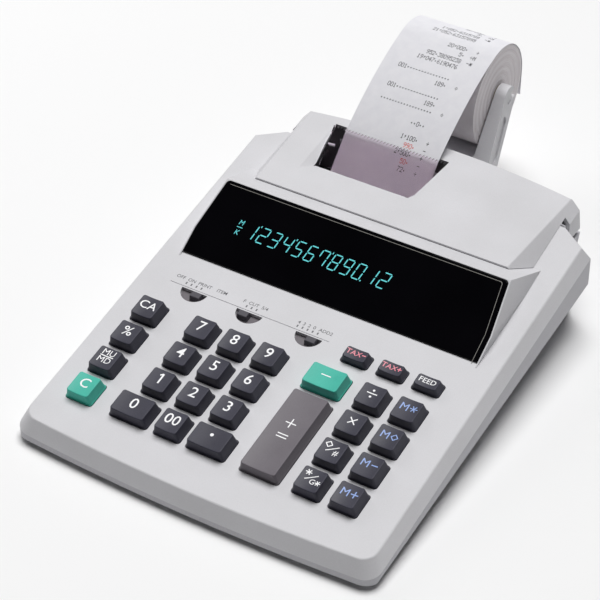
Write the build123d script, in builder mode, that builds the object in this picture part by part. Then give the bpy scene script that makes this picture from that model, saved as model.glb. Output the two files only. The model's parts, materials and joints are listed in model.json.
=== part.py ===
# Desktop printing calculator with a fluorescent display, 29 keys and a paper-roll printer.
# Millimetres. +X is to the operator's right, +Y is away from the operator, +Z is up.
# The origin is on the table under the middle of the whole machine, paper roll included.
import os
from math import acos, asin, atan2, cos, pi, radians, sin, sqrt, tan

from build123d import *

os.makedirs("parts", exist_ok=True)

# ---- driving dimensions -------------------------------------------------------------
deck_angle = 9.5            # slope of the key deck, rising to the rear
deck_edge_z = 14.9          # height of the deck plane at station 0
body_half = 103.5           # half the body's width, at the parting line
deck_half = 99.5            # half the flat deck's width
band_height = 8.0           # drafted side band between deck and parting line, along the deck's normal
wall = 2.5                  # moulded wall thickness
base_z = 3.0                # underside of the lower casing, on its feet
display_half = 88.3         # half the display wedge's width at the deck
lens_angle = 30.0           # slope of the display lens
cover_half = 85.0           # half the printer cover's width at its foot
rear_top_z = 37.0           # top of the lower casing's rear wall
hinge_y, hinge_z = 257.6, 40.0          # printer cover hinge line
roll_y, roll_z = 314.0, 62.5            # paper roll axis
roll_radius = 29.5
paper_width = 57.5
paper_x = -24.5             # middle of the paper
paper_gap = 0.3             # clearance between the tape and the surfaces it passes
tape_thickness = 0.4
platen_y, platen_z, platen_radius = 229.0, 34.0, 7.0
shaft_y, shaft_z, shaft_radius = 270.0, 18.0, 3.0
key_travel = 3.0
running = 0.05              # radial clearance of a running fit

# Stations are distances behind the deck's front edge. The frontmost point is 3.1 in front of
# it, and the tape on the back of the roll is the rearmost, so zero_y centres the whole machine.
front_overhang = 3.1
tape_radius = roll_radius + paper_gap + tape_thickness
zero_y = -(roll_y + tape_radius - front_overhang) / 2

slope = radians(deck_angle)
deck = Plane(origin=(0, zero_y, deck_edge_z), x_dir=(1, 0, 0), z_dir=(0, -sin(slope), cos(slope)))


def station(y):
    return zero_y + y


def deck_z(y):
    return deck_edge_z + y * tan(slope)


def save(piece, label):
    piece.part.label = label
    export_step(piece.part, "parts/" + label + ".step")


def cylinder_x(x_from, x_to, y, z, radius, mode=Mode.ADD):
    # A round bar or bore along X, between two x positions.
    with BuildSketch(Plane(origin=(x_from, station(y), z), x_dir=(0, 1, 0), z_dir=(1, 0, 0))) as end:
        Circle(radius)
    extrude(end.sketch, amount=x_to - x_from, mode=mode)


def block(x, y, z, mode=Mode.ADD):
    # A plain block from (low, high) pairs, y given as stations.
    with BuildSketch(Plane.XY.offset(z[0])) as base:
        with Locations(((x[0] + x[1]) / 2, station((y[0] + y[1]) / 2))):
            Rectangle(x[1] - x[0], y[1] - y[0])
    extrude(base.sketch, amount=z[1] - z[0], mode=mode)


# ---- keys ---------------------------------------------------------------------------
key_pitch_x = 20.13
key_pitch_s = 19.3
row_front = [23.3 + key_pitch_s * row for row in range(4)]      # rows 4, 3, 2, 1 from the front
key_base = (15.6, 14.9)
wide_base = (22.3, 14.9)
tall_base = (22.3, 2 * key_pitch_s + 14.9)
slim_base = (15.2, 8.8)
function_row = 104.9        # front line of the tax and feed keys
left_x = -78.95
digit_x = [-46.6, -26.5, -6.4]
zero_x, point_x = -49.3, -4.05
plus_x = 26.75
operator_x = 52.8
memory_x = operator_x + key_pitch_x
tax_x = [32.5, 52.7, 72.9]

# Each key: name, middle x, front line up the deck, base size, height above the deck.
key_height, slim_height = 6.4, 5.0
digit_names = [["key_1", "key_2", "key_3"], ["key_4", "key_5", "key_6"], ["key_7", "key_8", "key_9"]]
keys = []
for row, names in enumerate(digit_names):
    for x, name in zip(digit_x, names):
        keys.append((name, x, row_front[row + 1], key_base, key_height))
for row, name in enumerate(["key_clear", "key_mu_md", "key_percent", "key_ca"]):
    keys.append((name, left_x, row_front[row], key_base, key_height))
for row, name in enumerate(["key_total", "key_subtotal", "key_multiply", "key_divide"]):
    keys.append((name, operator_x, row_front[row], key_base, key_height))
memory_names = ["key_memory_plus", "key_memory_minus", "key_memory_subtotal", "key_memory_total"]
for row, name in enumerate(memory_names):
    keys.append((name, memory_x, row_front[row], key_base, key_height))
keys.append(("key_0", zero_x, row_front[0], wide_base, key_height))
keys.append(("key_00", digit_x[1], row_front[0], key_base, key_height))
keys.append(("key_point", point_x, row_front[0], wide_base, key_height))
keys.append(("key_plus_equals", plus_x, row_front[0], tall_base, key_height))
keys.append(("key_minus", plus_x, row_front[3], wide_base, key_height))
for x, name in zip(tax_x, ["key_tax_minus", "key_tax_plus", "key_feed"]):
    keys.append((name, x, function_row, slim_base, slim_height))

skirt_depth = 4.0           # key skirt below the deck surface
lip = 0.7                   # retaining lip under the deck, outside the skirt
stem_end = 4.6              # stem's end, below the deck surface
side_inset, front_inset, rear_inset = 1.6, 0.35, 1.35
dish_depth = 0.55
key_clearance = 0.35

for name, x, front, (width, depth), height in keys:
    middle = front + depth / 2
    with BuildPart() as key:
        # skirt through the deck, standing a little proud as the key's base
        with BuildSketch(deck.offset(-skirt_depth)):
            with Locations((x, middle)):
                RectangleRounded(width, depth, 1.6)
        extrude(amount=skirt_depth + 0.7)
        # tapered cap, steep at the front
        with BuildSketch(deck.offset(0.7)):
            with Locations((x, middle)):
                RectangleRounded(width - 0.5, depth - 0.5, 1.5)
        with BuildSketch(deck.offset(height)):
            with Locations((x, middle + (front_inset - rear_inset) / 2)):
                RectangleRounded(width - 2 * side_inset, depth - front_inset - rear_inset, 1.3)
        loft()
        # shallow dish, hollow from left to right
        half_top = width / 2 - side_inset
        dish_radius = (half_top**2 + dish_depth**2) / (2 * dish_depth)
        dish_plane = Plane(deck.from_local_coords((x, front - 2, 0)), x_dir=(1, 0, 0), z_dir=deck.y_dir)
        with BuildSketch(dish_plane):
            with Locations((0, -(height - dish_depth + dish_radius))):
                Circle(dish_radius)
        extrude(amount=depth + 4, mode=Mode.SUBTRACT)
        rim = key.faces().sort_by(Axis(deck.origin, deck.z_dir))[-1].edges()
        fillet(rim, 0.45)
        # hollow under the cap, with a stem that presses the dome
        with BuildSketch(deck.offset(-skirt_depth)):
            with Locations((x, middle)):
                RectangleRounded(width - 2.8, depth - 2.8, 0.8)
        extrude(amount=skirt_depth + 1.6, mode=Mode.SUBTRACT)
        with BuildSketch(deck.offset(-stem_end)):
            with Locations((x, middle)):
                Circle(1.8)
        extrude(amount=stem_end + 2.2)
        # retaining lip below the deck
        with BuildSketch(deck.offset(-skirt_depth)):
            with Locations((x, middle)):
                RectangleRounded(width + 2 * lip, depth + 2 * lip, 1.6)
                RectangleRounded(width - 2.8, depth - 2.8, 0.8, mode=Mode.SUBTRACT)
        extrude(amount=skirt_depth - wall - 0.2)
    save(key, name)

# ---- upper casing -------------------------------------------------------------------
front_bow = 3.9             # how far the front edge bows forward
shoulder_s = 227.2          # rear end of the deck's long sides, up the deck
shoulder_inner_s = 237.1    # rear end of the shoulders beside the printer cover
opening_half = 80.0         # half the opening under the display and printer
opening_front = 134.0


def casing_plan(plane, half, front, rear, inner_rear, corner):
    # Plan of the casing: bowed front, straight sides, rear corners cut off at an angle.
    with BuildSketch(plane) as plan:
        with BuildLine():
            bow = ThreePointArc((-half, front + front_bow), (0, front), (half, front + front_bow))
            corners = [(half, rear), (cover_half, inner_rear), (-cover_half, inner_rear), (-half, rear)]
            Polyline(bow @ 1, *corners, bow @ 0)
        make_face()
        fillet(plan.vertices().group_by(Axis.Y)[:1][0], corner)
    return plan.sketch


with BuildPart() as tray_outside:
    foot = casing_plan(
        deck.offset(-band_height), body_half, -4.5, shoulder_s + 2.0, shoulder_inner_s + 3.0, 9.0
    )
    top = casing_plan(deck, deck_half, 0.9, shoulder_s, shoulder_inner_s, 8.0)
    loft([foot, top])

with BuildPart() as tray_inside:
    foot = casing_plan(
        deck.offset(-band_height - 0.1),
        body_half - wall,
        wall - 4.5,
        shoulder_s,
        shoulder_inner_s + 0.5,
        7.0,
    )
    top = casing_plan(
        deck.offset(-wall), deck_half - wall + 1.0, wall - 0.1, shoulder_s - 2.0, shoulder_inner_s - 2.0, 6.0
    )
    loft([foot, top])

# Slide-switch notches: half-round hollows just in front of an engraved line across the deck.
notch_x = [-66.3, -32.6, 2.9]
notch_s = 112.4             # their straight rear edge, up the deck
notch_width, notch_reach, notch_depth = 15.4, 7.4, 2.2
notch_pocket_wall = 1.0
slot_length, slot_width = 9.6, 1.8
slot_s = notch_s - 2.6
line_ends = (-82.0, 14.0)

with BuildPart() as upper_casing:
    add(tray_outside.part)
    fillet(upper_casing.faces().sort_by(Axis(deck.origin, deck.z_dir))[-1].edges(), 1.0)
    add(tray_inside.part, mode=Mode.SUBTRACT)
    with BuildSketch(deck.offset(1)):
        with Locations((0, (opening_front + 300) / 2)):
            Rectangle(2 * opening_half, 300 - opening_front)
    extrude(amount=-20, mode=Mode.SUBTRACT)
    # pocket floors below the deck, carrying the switch notches
    with BuildSketch(deck.offset(-1.0)):
        with Locations(*[(x, notch_s - notch_reach / 2) for x in notch_x]):
            Rectangle(notch_width + 2, notch_reach + 2)
    extrude(amount=-(notch_depth + notch_pocket_wall - 1.0))
    with BuildSketch(deck.offset(0.5)):
        for x in notch_x:
            with BuildLine():
                left, right = (x - notch_width / 2, notch_s), (x + notch_width / 2, notch_s)
                ThreePointArc(left, (x, notch_s - notch_reach), right)
                Line(right, left)
            make_face()
    extrude(amount=-(notch_depth + 0.5), mode=Mode.SUBTRACT)
    with BuildSketch(deck):
        with Locations(*[(x, slot_s) for x in notch_x]):
            Rectangle(slot_length, slot_width)
    extrude(amount=-6, mode=Mode.SUBTRACT)
    # fine engraved line
    with BuildSketch(deck.offset(0.1)):
        with Locations((sum(line_ends) / 2, notch_s + 0.9)):
            Rectangle(line_ends[1] - line_ends[0], 0.4)
    extrude(amount=-0.4, mode=Mode.SUBTRACT)
    # key openings
    with BuildSketch(deck.offset(1)):
        for name, x, front, (width, depth), height in keys:
            with Locations((x, front + depth / 2)):
                RectangleRounded(width + 2 * key_clearance, depth + 2 * key_clearance, 1.8)
    extrude(amount=-20, mode=Mode.SUBTRACT)
save(upper_casing, "upper_casing")

# ---- slide switches -----------------------------------------------------------------
knob_length, knob_width, knob_rise = 6.6, 4.6, 1.6
switch_step = 4.8           # full travel from one end position to the other
switch_names = ["power_switch_knob", "rounding_switch_knob", "decimal_switch_knob"]
switch_rest = [1.0, -1.0, 1.0]      # which end of the travel each knob stands at
for name, x, side in zip(switch_names, notch_x, switch_rest):
    rest_x = x + side * switch_step / 2
    with BuildPart() as knob:
        with BuildSketch(deck.offset(-notch_depth + 0.15)):
            with Locations((rest_x, slot_s)):
                RectangleRounded(knob_length, knob_width, 0.8)
        extrude(amount=notch_depth + knob_rise - 0.5, taper=8)
        fillet(knob.faces().sort_by(Axis(deck.origin, deck.z_dir))[-1].edges(), 0.5)
        with BuildSketch(deck.offset(-notch_depth + 0.15)):
            with Locations((rest_x, slot_s)):
                Rectangle(slot_length - switch_step - 0.6, slot_width - 0.4)
        extrude(amount=-(notch_pocket_wall + 0.45))
        # retaining foot under the pocket floor
        with BuildSketch(deck.offset(-notch_depth - notch_pocket_wall - 0.3)):
            with Locations((rest_x, slot_s)):
                Rectangle(slot_length - switch_step - 0.6, slot_width + 1.6)
        extrude(amount=-0.8)
    save(knob, name)

# ---- lower casing -------------------------------------------------------------------
edge_front_z = 4.3          # lower edge of the side walls at station 0
edge_rise = 0.104           # its rise to the rear
undercut = 12.0             # how far the underside draws in at the rear corners
corner_rear = 227.6
inner_rear = 239.2
block_rear_top, block_rear_base = 263.0, 250.0      # middle of the arched rear wall
rear_bow = 7.8
floor_z = base_z + wall

# The undercut planes pass through the side's lower edge and the drawn-in underside.
edge_low = Vector(body_half, station(0), edge_front_z)
edge_high = Vector(body_half, station(corner_rear), edge_front_z + edge_rise * corner_rear)
drawn_in = Vector(body_half - undercut, station(corner_rear), base_z)
parting = deck.offset(-band_height)


def tub(inset, bottom):
    # The tub below the parting line, drawn in at the sides towards its base.
    with BuildPart() as mass:
        plan = casing_plan(
            Plane.XY.offset(bottom),
            body_half - inset,
            station(-front_overhang + inset),
            station(corner_rear - inset / 2),
            station(inner_rear - inset),
            9.0 - inset,
        )
        extrude(plan, amount=60 - bottom)
        for side in (1, -1):
            corner = [Vector(side * p.X - side * inset, p.Y, p.Z) for p in (edge_low, edge_high, drawn_in)]
            normal = (corner[1] - corner[0]).cross(corner[2] - corner[0]) * side
            split(bisect_by=Plane(corner[0], z_dir=normal), keep=Keep.TOP if normal.Z > 0 else Keep.BOTTOM)
        split(bisect_by=parting if inset == 0 else parting.offset(5), keep=Keep.BOTTOM)
    return mass.part


def rear_outline(plane, half, front, rear):
    # Plan of the part behind the deck: square in front, arched at the rear.
    with BuildSketch(plane) as plan:
        with BuildLine():
            bow = ThreePointArc((half, rear - rear_bow), (0, rear), (-half, rear - rear_bow))
            Polyline(bow @ 1, (-half, front), (half, front), bow @ 0)
        make_face()
    return plan.sketch


def rear_block(inset, bottom, top):
    # The wall that closes the body behind the printer, leaning out towards its top.
    with BuildPart() as mass:
        lean = (block_rear_top - block_rear_base) / (rear_top_z - base_z)
        ends = []
        for z in (bottom, top):
            rear = station(block_rear_base + lean * (z - base_z) - inset)
            ends.append(rear_outline(Plane.XY.offset(z), cover_half - inset, station(205), rear))
        loft(ends)
    return mass.part


tub_outside, tub_inside = tub(0, base_z), tub(wall, floor_z)
block_outside, block_inside = rear_block(0, base_z, rear_top_z), rear_block(wall, floor_z, rear_top_z + 1)
lug_x = (-68.5, 19.5)       # lugs that carry the roll holder's shaft
ear_x = (-60.0, 60.0)       # ears that carry the cover's hinge pins
ear_width, ear_radius, pin_radius = 4.8, 2.7, 1.5
foot_spots = [(x, station(y)) for x in (-78.0, 78.0) for y in (14.0, 205.0)]
screw_spots = [(x, station(y)) for x in (-70.0, 70.0) for y in (32.0, 190.0)]
foot_radius, foot_height, foot_recess = 7.0, 3.6, 0.6
board_post_spots = [(x, station(y)) for x in (-78.0, 78.0) for y in (135.0, 178.0)]
board_z = 10.0
inlet_x, inlet_z, inlet_radius = 62.0, 20.0, 4.0

with BuildPart() as lower_casing:
    add(tub_outside)
    add(block_outside)
    add(tub_inside, mode=Mode.SUBTRACT)
    add(block_inside, mode=Mode.SUBTRACT)
    block((-opening_half - 2.0, opening_half + 2.0), (215, 246), (floor_z, 60), mode=Mode.SUBTRACT)
    gap_half = opening_half + 4.0
    block((-gap_half, gap_half), (236, inner_rear + 1), (rear_top_z, 60), mode=Mode.SUBTRACT)
    # board posts and lugs
    with BuildSketch(Plane.XY.offset(floor_z)):
        with Locations(*board_post_spots):
            Circle(3)
    extrude(amount=board_z - floor_z)
    for x in lug_x:
        lug_plane = Plane(origin=(x - 2.5, 0, 0), x_dir=(0, 1, 0), z_dir=(1, 0, 0))
        with BuildSketch(lug_plane):
            with BuildLine():
                Polyline(
                    (station(246.3), shaft_z - 9),
                    (station(shaft_y), shaft_z - 6),
                    (station(shaft_y), shaft_z + 6),
                    (station(252.5), shaft_z + 9),
                    (station(246.3), shaft_z - 9),
                )
            make_face()
            with Locations((station(shaft_y), shaft_z)):
                Circle(6)
        extrude(amount=5)
        cylinder_x(x - 3, x + 3, shaft_y, shaft_z, shaft_radius + running, mode=Mode.SUBTRACT)
    for x in ear_x:
        left, right = x - ear_width / 2, x + ear_width / 2
        block((left, right), (hinge_y - ear_radius, hinge_y + ear_radius), (34, hinge_z))
        cylinder_x(left, right, hinge_y, hinge_z, ear_radius)
        cylinder_x(x - 4, x + 4, hinge_y, hinge_z, pin_radius + running, mode=Mode.SUBTRACT)
    # foot recesses, screw holes and the mains inlet
    with BuildSketch(Plane.XY.offset(base_z)):
        with Locations(*foot_spots):
            Circle(foot_radius)
    extrude(amount=foot_recess, mode=Mode.SUBTRACT)
    with BuildSketch(Plane.XY.offset(base_z - 1)):
        with Locations(*screw_spots):
            Circle(1.8)
    extrude(amount=5, mode=Mode.SUBTRACT)
    with BuildSketch(Plane(origin=(inlet_x, station(240), inlet_z), x_dir=(1, 0, 0), z_dir=(0, 1, 0))):
        Circle(inlet_radius)
    extrude(amount=40, mode=Mode.SUBTRACT)
save(lower_casing, "lower_casing")

with BuildPart() as rubber_feet:
    with BuildSketch(Plane.XY):
        with Locations(*foot_spots):
            Circle(foot_radius - 0.1)
    extrude(amount=foot_height)
    fillet(rubber_feet.edges().group_by(Axis.Z)[0], 0.8)
save(rubber_feet, "rubber_feet")

with BuildPart() as case_screws:
    with BuildSketch(Plane.XY.offset(base_z - 1.6)):
        with Locations(*screw_spots):
            Circle(3.2)
    extrude(amount=1.6)
    with BuildSketch(Plane.XY.offset(base_z)):
        with Locations(*screw_spots):
            Circle(1.5)
    extrude(amount=5)
    with BuildSketch(Plane.XY.offset(base_z - 1.6)):
        with Locations(*screw_spots):
            Rectangle(4.4, 0.8)
            Rectangle(0.8, 4.4)
    extrude(amount=0.9, mode=Mode.SUBTRACT)
save(case_screws, "case_screws")

# ---- display ------------------------------------------------------------------------
wedge_front = 128.8         # where the lens meets the deck
apex_y, apex_z = 171.9, 61.0
wedge_rear = 201.0          # where the housing's rear slope meets the deck
draft_from_z = 45.5         # the wedge's sides are upright below this and lean in above it
side_draft = radians(14.3)
lens_thickness = 3.0
rim = 0.8                   # moulded rim round the lens

lens_tilt = radians(lens_angle)
lens_foot_z = deck_z(wedge_front)
lens_plane = Plane(
    origin=(0, station(wedge_front), lens_foot_z),
    x_dir=(1, 0, 0),
    z_dir=(0, -sin(lens_tilt), cos(lens_tilt)),
)
lens_length = (apex_y - wedge_front) / cos(lens_tilt)


def side_profile(points, half, mode=Mode.ADD):
    # A (station, z) outline carried across the machine, from -half to +half.
    with BuildSketch(Plane(origin=(-half, 0, 0), x_dir=(0, 1, 0), z_dir=(1, 0, 0))) as profile:
        with BuildLine():
            Polyline(*[(station(y), z) for y, z in points + points[:1]])
        make_face()
    extrude(profile.sketch, amount=2 * half, mode=mode)


def lean_in(inset=0.0):
    # Cuts the wedge's sides back to their draft.
    for side in (1, -1):
        normal = Vector(side * cos(side_draft), 0, sin(side_draft))
        corner = Vector(side * display_half, station(apex_y), draft_from_z) - normal * inset
        split(bisect_by=Plane(corner, z_dir=normal), keep=Keep.BOTTOM)


def lens_outline(plane, grow):
    # The wedge's front face less its rim: upright sides that lean in towards the top.
    half = display_half - rim + grow
    top = lens_length - rim + grow
    bend = (draft_from_z - lens_foot_z) / sin(lens_tilt)
    top_half = half - (top - bend) * sin(lens_tilt) * tan(side_draft)
    with BuildSketch(plane) as face:
        with BuildLine():
            right = [(half, -2), (half, bend), (top_half, top)]
            left = [(-x, s) for x, s in right[::-1]]
            Polyline(*right, *left, right[0])
        make_face()
        fillet(face.vertices().group_by(Axis.Y)[-1], 2.4)
    return face.sketch


# Lower edges of the pieces that sit on the deck stand this far above it.
seat_gap = 0.15
above_deck = deck.offset(seat_gap)

with BuildPart() as display_housing:
    triangle = [(wedge_front, deck_z(wedge_front)), (apex_y, apex_z), (wedge_rear, deck_z(wedge_rear))]
    side_profile(triangle, display_half)
    lean_in()
    fillet(display_housing.edges().filter_by(Axis.X).sort_by(Axis.Z)[-1], 0.6)
    extrude(lens_outline(lens_plane, 0.1), amount=-lens_thickness - 0.1, mode=Mode.SUBTRACT)
    extrude(lens_outline(lens_plane, 0.1), amount=5, mode=Mode.SUBTRACT)
    side_profile(
        [
            (wedge_front + 13, deck_z(wedge_front + 13) - 1),
            (apex_y - 2, apex_z - 7.5),
            (apex_y + 3, apex_z - 4.6),
            (wedge_rear - 5, deck_z(wedge_rear - 5) - 1),
        ],
        display_half - 6.5,
        mode=Mode.SUBTRACT,
    )
    with BuildSketch(lens_plane):
        with Locations((0, lens_length / 2 + 4)):
            Rectangle(150, 22)
    extrude(amount=-12, mode=Mode.SUBTRACT)
    split(bisect_by=above_deck, keep=Keep.TOP)
save(display_housing, "display_housing")

with BuildPart() as display_lens:
    extrude(lens_outline(lens_plane, 0), amount=-lens_thickness)
    split(bisect_by=above_deck, keep=Keep.TOP)
    border = display_lens.faces().sort_by(Axis(lens_plane.origin, lens_plane.z_dir))[-1]
    fillet(border.edges(), 0.6)
save(display_lens, "display_lens")

tube_x, tube_size = -16.0, (112.0, 20.0, 6.0)
with BuildPart() as display_tube:
    with BuildSketch(lens_plane.offset(-lens_thickness - 4.5)):
        with Locations((tube_x, lens_length / 2 + 4)):
            RectangleRounded(tube_size[0], tube_size[1], 2)
    extrude(amount=-tube_size[2])
    with BuildSketch(lens_plane.offset(-lens_thickness - 4.5 - tube_size[2])):
        with Locations((tube_x, lens_length / 2 - 4.0)):
            with GridLocations(4.0, 1, 24, 1):
                Rectangle(0.6, 0.6)
    extrude(amount=-4)
save(display_tube, "display_tube")

# ---- printer cover ------------------------------------------------------------------
cover_front, cover_front_z = 186.1, 56.2
cover_rise = 0.0505         # rise of the cover's top, per unit of length
cover_rear_top, cover_rear_foot = 258.2, 262.2      # middle of the arched rear face
cover_foot_z = 40.0
skirt_front = 239.9         # the rear skirt reaches down behind this station
cover_wall = 2.2
bevel_half = 75.3           # half the flat top's width at its front
bevel_normal = Vector(0.764, -0.086, 0.639)
slope_rise = (apex_z - deck_z(wedge_rear)) / (wedge_rear - apex_y)
window_outline = [(-54.0, 210.0), (4.2, 210.0), (6.2, 214.0), (9.0, 247.5), (-61.5, 247.5)]
facet = [(-59.8, 205.0), (-53.8, 209.8), (-61.6, 243.0)]


def cover_top_z(y):
    return cover_front_z + (y - cover_front) * cover_rise


def cover_mass(inset, foot):
    # The cover's outer form, or its hollow when inset by the wall.
    with BuildPart() as mass:
        ends = [
            rear_outline(Plane.XY.offset(z), cover_half - inset, station(180), station(rear - inset))
            for z, rear in ((foot, cover_rear_foot), (64, cover_rear_top - 0.7))
        ]
        loft(ends)
        top = Plane((0, station(cover_front), cover_front_z - inset), z_dir=(0, -cover_rise, 1))
        split(bisect_by=top, keep=Keep.BOTTOM)
        slope_normal = Vector(0, slope_rise, 1).normalized()
        front = Vector(0, station(apex_y), apex_z) + slope_normal * (0.3 + inset)
        split(bisect_by=Plane(front, z_dir=slope_normal), keep=Keep.TOP)
        face = Plane((0, station(cover_front + inset), 0), z_dir=(0, 1, 0))
        split(bisect_by=face, keep=Keep.TOP)
        for side in (1, -1):
            normal = Vector(side * bevel_normal.X, bevel_normal.Y, bevel_normal.Z)
            corner = Vector(side * bevel_half, station(cover_front), cover_front_z) - normal * inset
            split(bisect_by=Plane(corner, z_dir=normal), keep=Keep.BOTTOM)
    return mass.part


cover_outside, cover_inside = cover_mass(0, cover_foot_z), cover_mass(cover_wall, cover_foot_z - 5)

with BuildPart() as printer_cover:
    add(cover_outside)
    top_edges = printer_cover.faces().sort_by(Axis.Z)[-1].edges()
    fillet(top_edges.sort_by(Axis.Y)[1:], 1.2)
    add(cover_inside, mode=Mode.SUBTRACT)
    side_profile(
        [
            (150, deck_z(150) + 2 * seat_gap),
            (skirt_front, deck_z(skirt_front) + 2 * seat_gap),
            (skirt_front, 20),
            (150, 20),
        ],
        cover_half + 5,
        mode=Mode.SUBTRACT,
    )
    # window opening and the facet beside it
    with BuildSketch(Plane.XY.offset(45)) as window:
        with BuildLine():
            Polyline(*[(x, station(y)) for x, y in window_outline + window_outline[:1]])
        make_face()
    extrude(amount=30, mode=Mode.SUBTRACT)
    corners = [Vector(x, station(y), cover_top_z(y) - drop) for (x, y), drop in zip(facet, (0, 2.6, 0))]
    facet_normal = (corners[1] - corners[0]).cross(corners[2] - corners[0]).normalized()
    facet_plane = Plane(corners[0], x_dir=corners[2] - corners[0], z_dir=facet_normal)
    with BuildSketch(facet_plane):
        with BuildLine():
            flat = [facet_plane.to_local_coords(corner) for corner in corners]
            Polyline(*[(p.X, p.Y) for p in flat + flat[:1]])
        make_face()
    extrude(amount=8, mode=Mode.SUBTRACT)
    # hinge pins in notches that clear the lower casing's ears
    for x in ear_x:
        block((x - 6.2, x + 6.2), (hinge_y - 3.2, hinge_y - 0.2), (hinge_z - 2.5, hinge_z + 3))
        notch_x_range, notch_z_range = (x - 3, x + 3), (cover_foot_z - 3, hinge_z + 5)
        block(notch_x_range, (hinge_y - 6, hinge_y + 6), notch_z_range, mode=Mode.SUBTRACT)
        cylinder_x(x - 4, x + 4, hinge_y, hinge_z, pin_radius)
save(printer_cover, "printer_cover")

cutter_y, cutter_z = 243.6, 61.2
plate_thickness, plate_foot_z = 1.4, 37.5
plate_x = (-60.0, 8.0)
tooth_pitch, tooth_depth = 2.0, 1.1
plate_length = (cutter_z - plate_foot_z) * sqrt(2)
plate_plane = Plane(origin=(0, station(cutter_y), cutter_z), x_dir=(1, 0, 0), z_dir=(0, -1, 1))
with BuildPart() as tear_off_window:
    with BuildSketch(plate_plane):
        with Locations((sum(plate_x) / 2, -plate_length / 2)):
            Rectangle(plate_x[1] - plate_x[0], plate_length)
        for tooth in range(int((plate_x[1] - plate_x[0]) / tooth_pitch)):
            left = plate_x[0] + tooth * tooth_pitch
            right = left + tooth_pitch
            with BuildLine():
                Polyline((left, 0.1), (right, 0.1), ((left + right) / 2, -tooth_depth), (left, 0.1))
            make_face(mode=Mode.SUBTRACT)
    extrude(amount=plate_thickness)
    for x in ((plate_x[0] - 2.5, plate_x[0] + 0.5), (plate_x[1] - 0.5, plate_x[1] + 2.5)):
        block(x, (231, 236), (49, 53))
save(tear_off_window, "tear_off_window")

# ---- key boards and main board ------------------------------------------------------
mat_depth, mat_thickness, dome_rise = 9.4, 0.8, 0.7
board_thickness = 1.4
board_front_s, board_rear_s, board_half = 17.0, 116.0, 92.0

with BuildPart() as key_dome_mat:
    with BuildSketch(deck.offset(-mat_depth)):
        with Locations((0, (board_front_s + board_rear_s) / 2)):
            Rectangle(2 * board_half, board_rear_s - board_front_s)
    extrude(amount=mat_thickness)
    with BuildSketch(deck.offset(-mat_depth + mat_thickness)):
        for name, x, front, (width, depth), height in keys:
            with Locations((x, front + depth / 2)):
                Circle(3.4)
    extrude(amount=dome_rise, taper=25)
save(key_dome_mat, "key_dome_mat")

with BuildPart() as key_board:
    with BuildSketch(deck.offset(-mat_depth - board_thickness)):
        with Locations((0, (board_front_s + board_rear_s) / 2)):
            Rectangle(2 * board_half, board_rear_s - board_front_s)
            with GridLocations(2 * board_half - 8, board_rear_s - board_front_s - 8, 2, 2):
                Circle(1.5, mode=Mode.SUBTRACT)
    extrude(amount=board_thickness)
save(key_board, "key_board")

with BuildPart() as main_board:
    block((-84.0, 84.0), (128, 184), (board_z, board_z + board_thickness))
    with BuildSketch(Plane.XY.offset(board_z + board_thickness)):
        for x, y, width, depth in ((-20, 150, 24, 24), (-58, 150, 18, 9), (30, 146, 10, 16)):
            with Locations((x, station(y))):
                Rectangle(width, depth)
    extrude(amount=2.4)
    with BuildSketch(Plane.XY.offset(board_z + board_thickness)):
        for x, y, radius in ((52, 170, 5), (66, 170, 5), (60, 148, 4), (-40, 172, 3)):
            with Locations((x, station(y))):
                Circle(radius)
    extrude(amount=13)
save(main_board, "main_board")

# ---- mains transformer --------------------------------------------------------------
core_x, core_y, core_z = (50.0, 76.0), (200.0, 236.0), (floor_z, 38.0)
with BuildPart() as transformer:
    block(core_x, core_y, core_z)
    block((core_x[0] - 6, core_x[1] + 0.1), (core_y[0] + 7, core_y[1] - 7), (core_z[0] + 5, core_z[1] - 5))
    with BuildSketch(Plane.XY.offset(core_z[0])):
        with Locations((sum(core_x) / 2, station(sum(core_y) / 2))):
            with GridLocations(core_x[1] - core_x[0] - 8, core_y[1] - core_y[0] - 6, 2, 2):
                Circle(1.6)
    extrude(amount=40, mode=Mode.SUBTRACT)
save(transformer, "transformer")

# ---- printer mechanism --------------------------------------------------------------
plate_left, plate_right, plate_gauge = -66.0, 18.0, 2.0
axle_radius = 2.0
rod_y, rod_z, rod_radius = 207.0, 20.0, 2.5
gear_teeth, pinion_teeth, gear_module, gear_width = 30, 14, 0.8, 4.0
gear_x = 21.0
mesh_slack = 0.14           # added to the exact centre distance
mesh_angle = radians(210)   # from the platen to the motor, in the (Y, Z) plane
centre_distance = gear_module * (gear_teeth + pinion_teeth) / 2 + mesh_slack
motor_y = platen_y + centre_distance * cos(mesh_angle)
motor_z = platen_z + centre_distance * sin(mesh_angle)


def gear(x, y, z, teeth, turn, bore):
    # A spur gear with involute flanks: half the tooth's angle at radius r is its value at the
    # pitch circle plus the involute function there, less the involute function at r.
    pitch_radius = gear_module * teeth / 2
    root, tip = pitch_radius - 1.1 * gear_module, pitch_radius + 0.75 * gear_module
    base = pitch_radius * cos(radians(20))
    thinning = 0.09 / pitch_radius
    involute = tan(radians(20)) - radians(20)
    flank = []
    for step in range(6):
        radius = max(base, root) + (tip - max(base, root)) * step / 5
        angle = acos(min(1.0, base / radius))
        flank.append((radius, pi / (2 * teeth) - thinning + involute - (tan(angle) - angle)))
    flank.insert(0, (root, flank[0][1]))
    points = []
    for tooth in range(teeth):
        middle = turn + 2 * pi * tooth / teeth
        points += [(r * cos(middle - half), r * sin(middle - half)) for r, half in flank]
        points += [(r * cos(middle + half), r * sin(middle + half)) for r, half in flank[::-1]]
    with BuildPart() as wheel:
        with BuildSketch(Plane(origin=(x, station(y), z), x_dir=(0, 1, 0), z_dir=(1, 0, 0))):
            with BuildLine():
                Polyline(*points, points[0])
            make_face()
            Circle(bore, mode=Mode.SUBTRACT)
        extrude(amount=gear_width)
    return wheel.part


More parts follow.
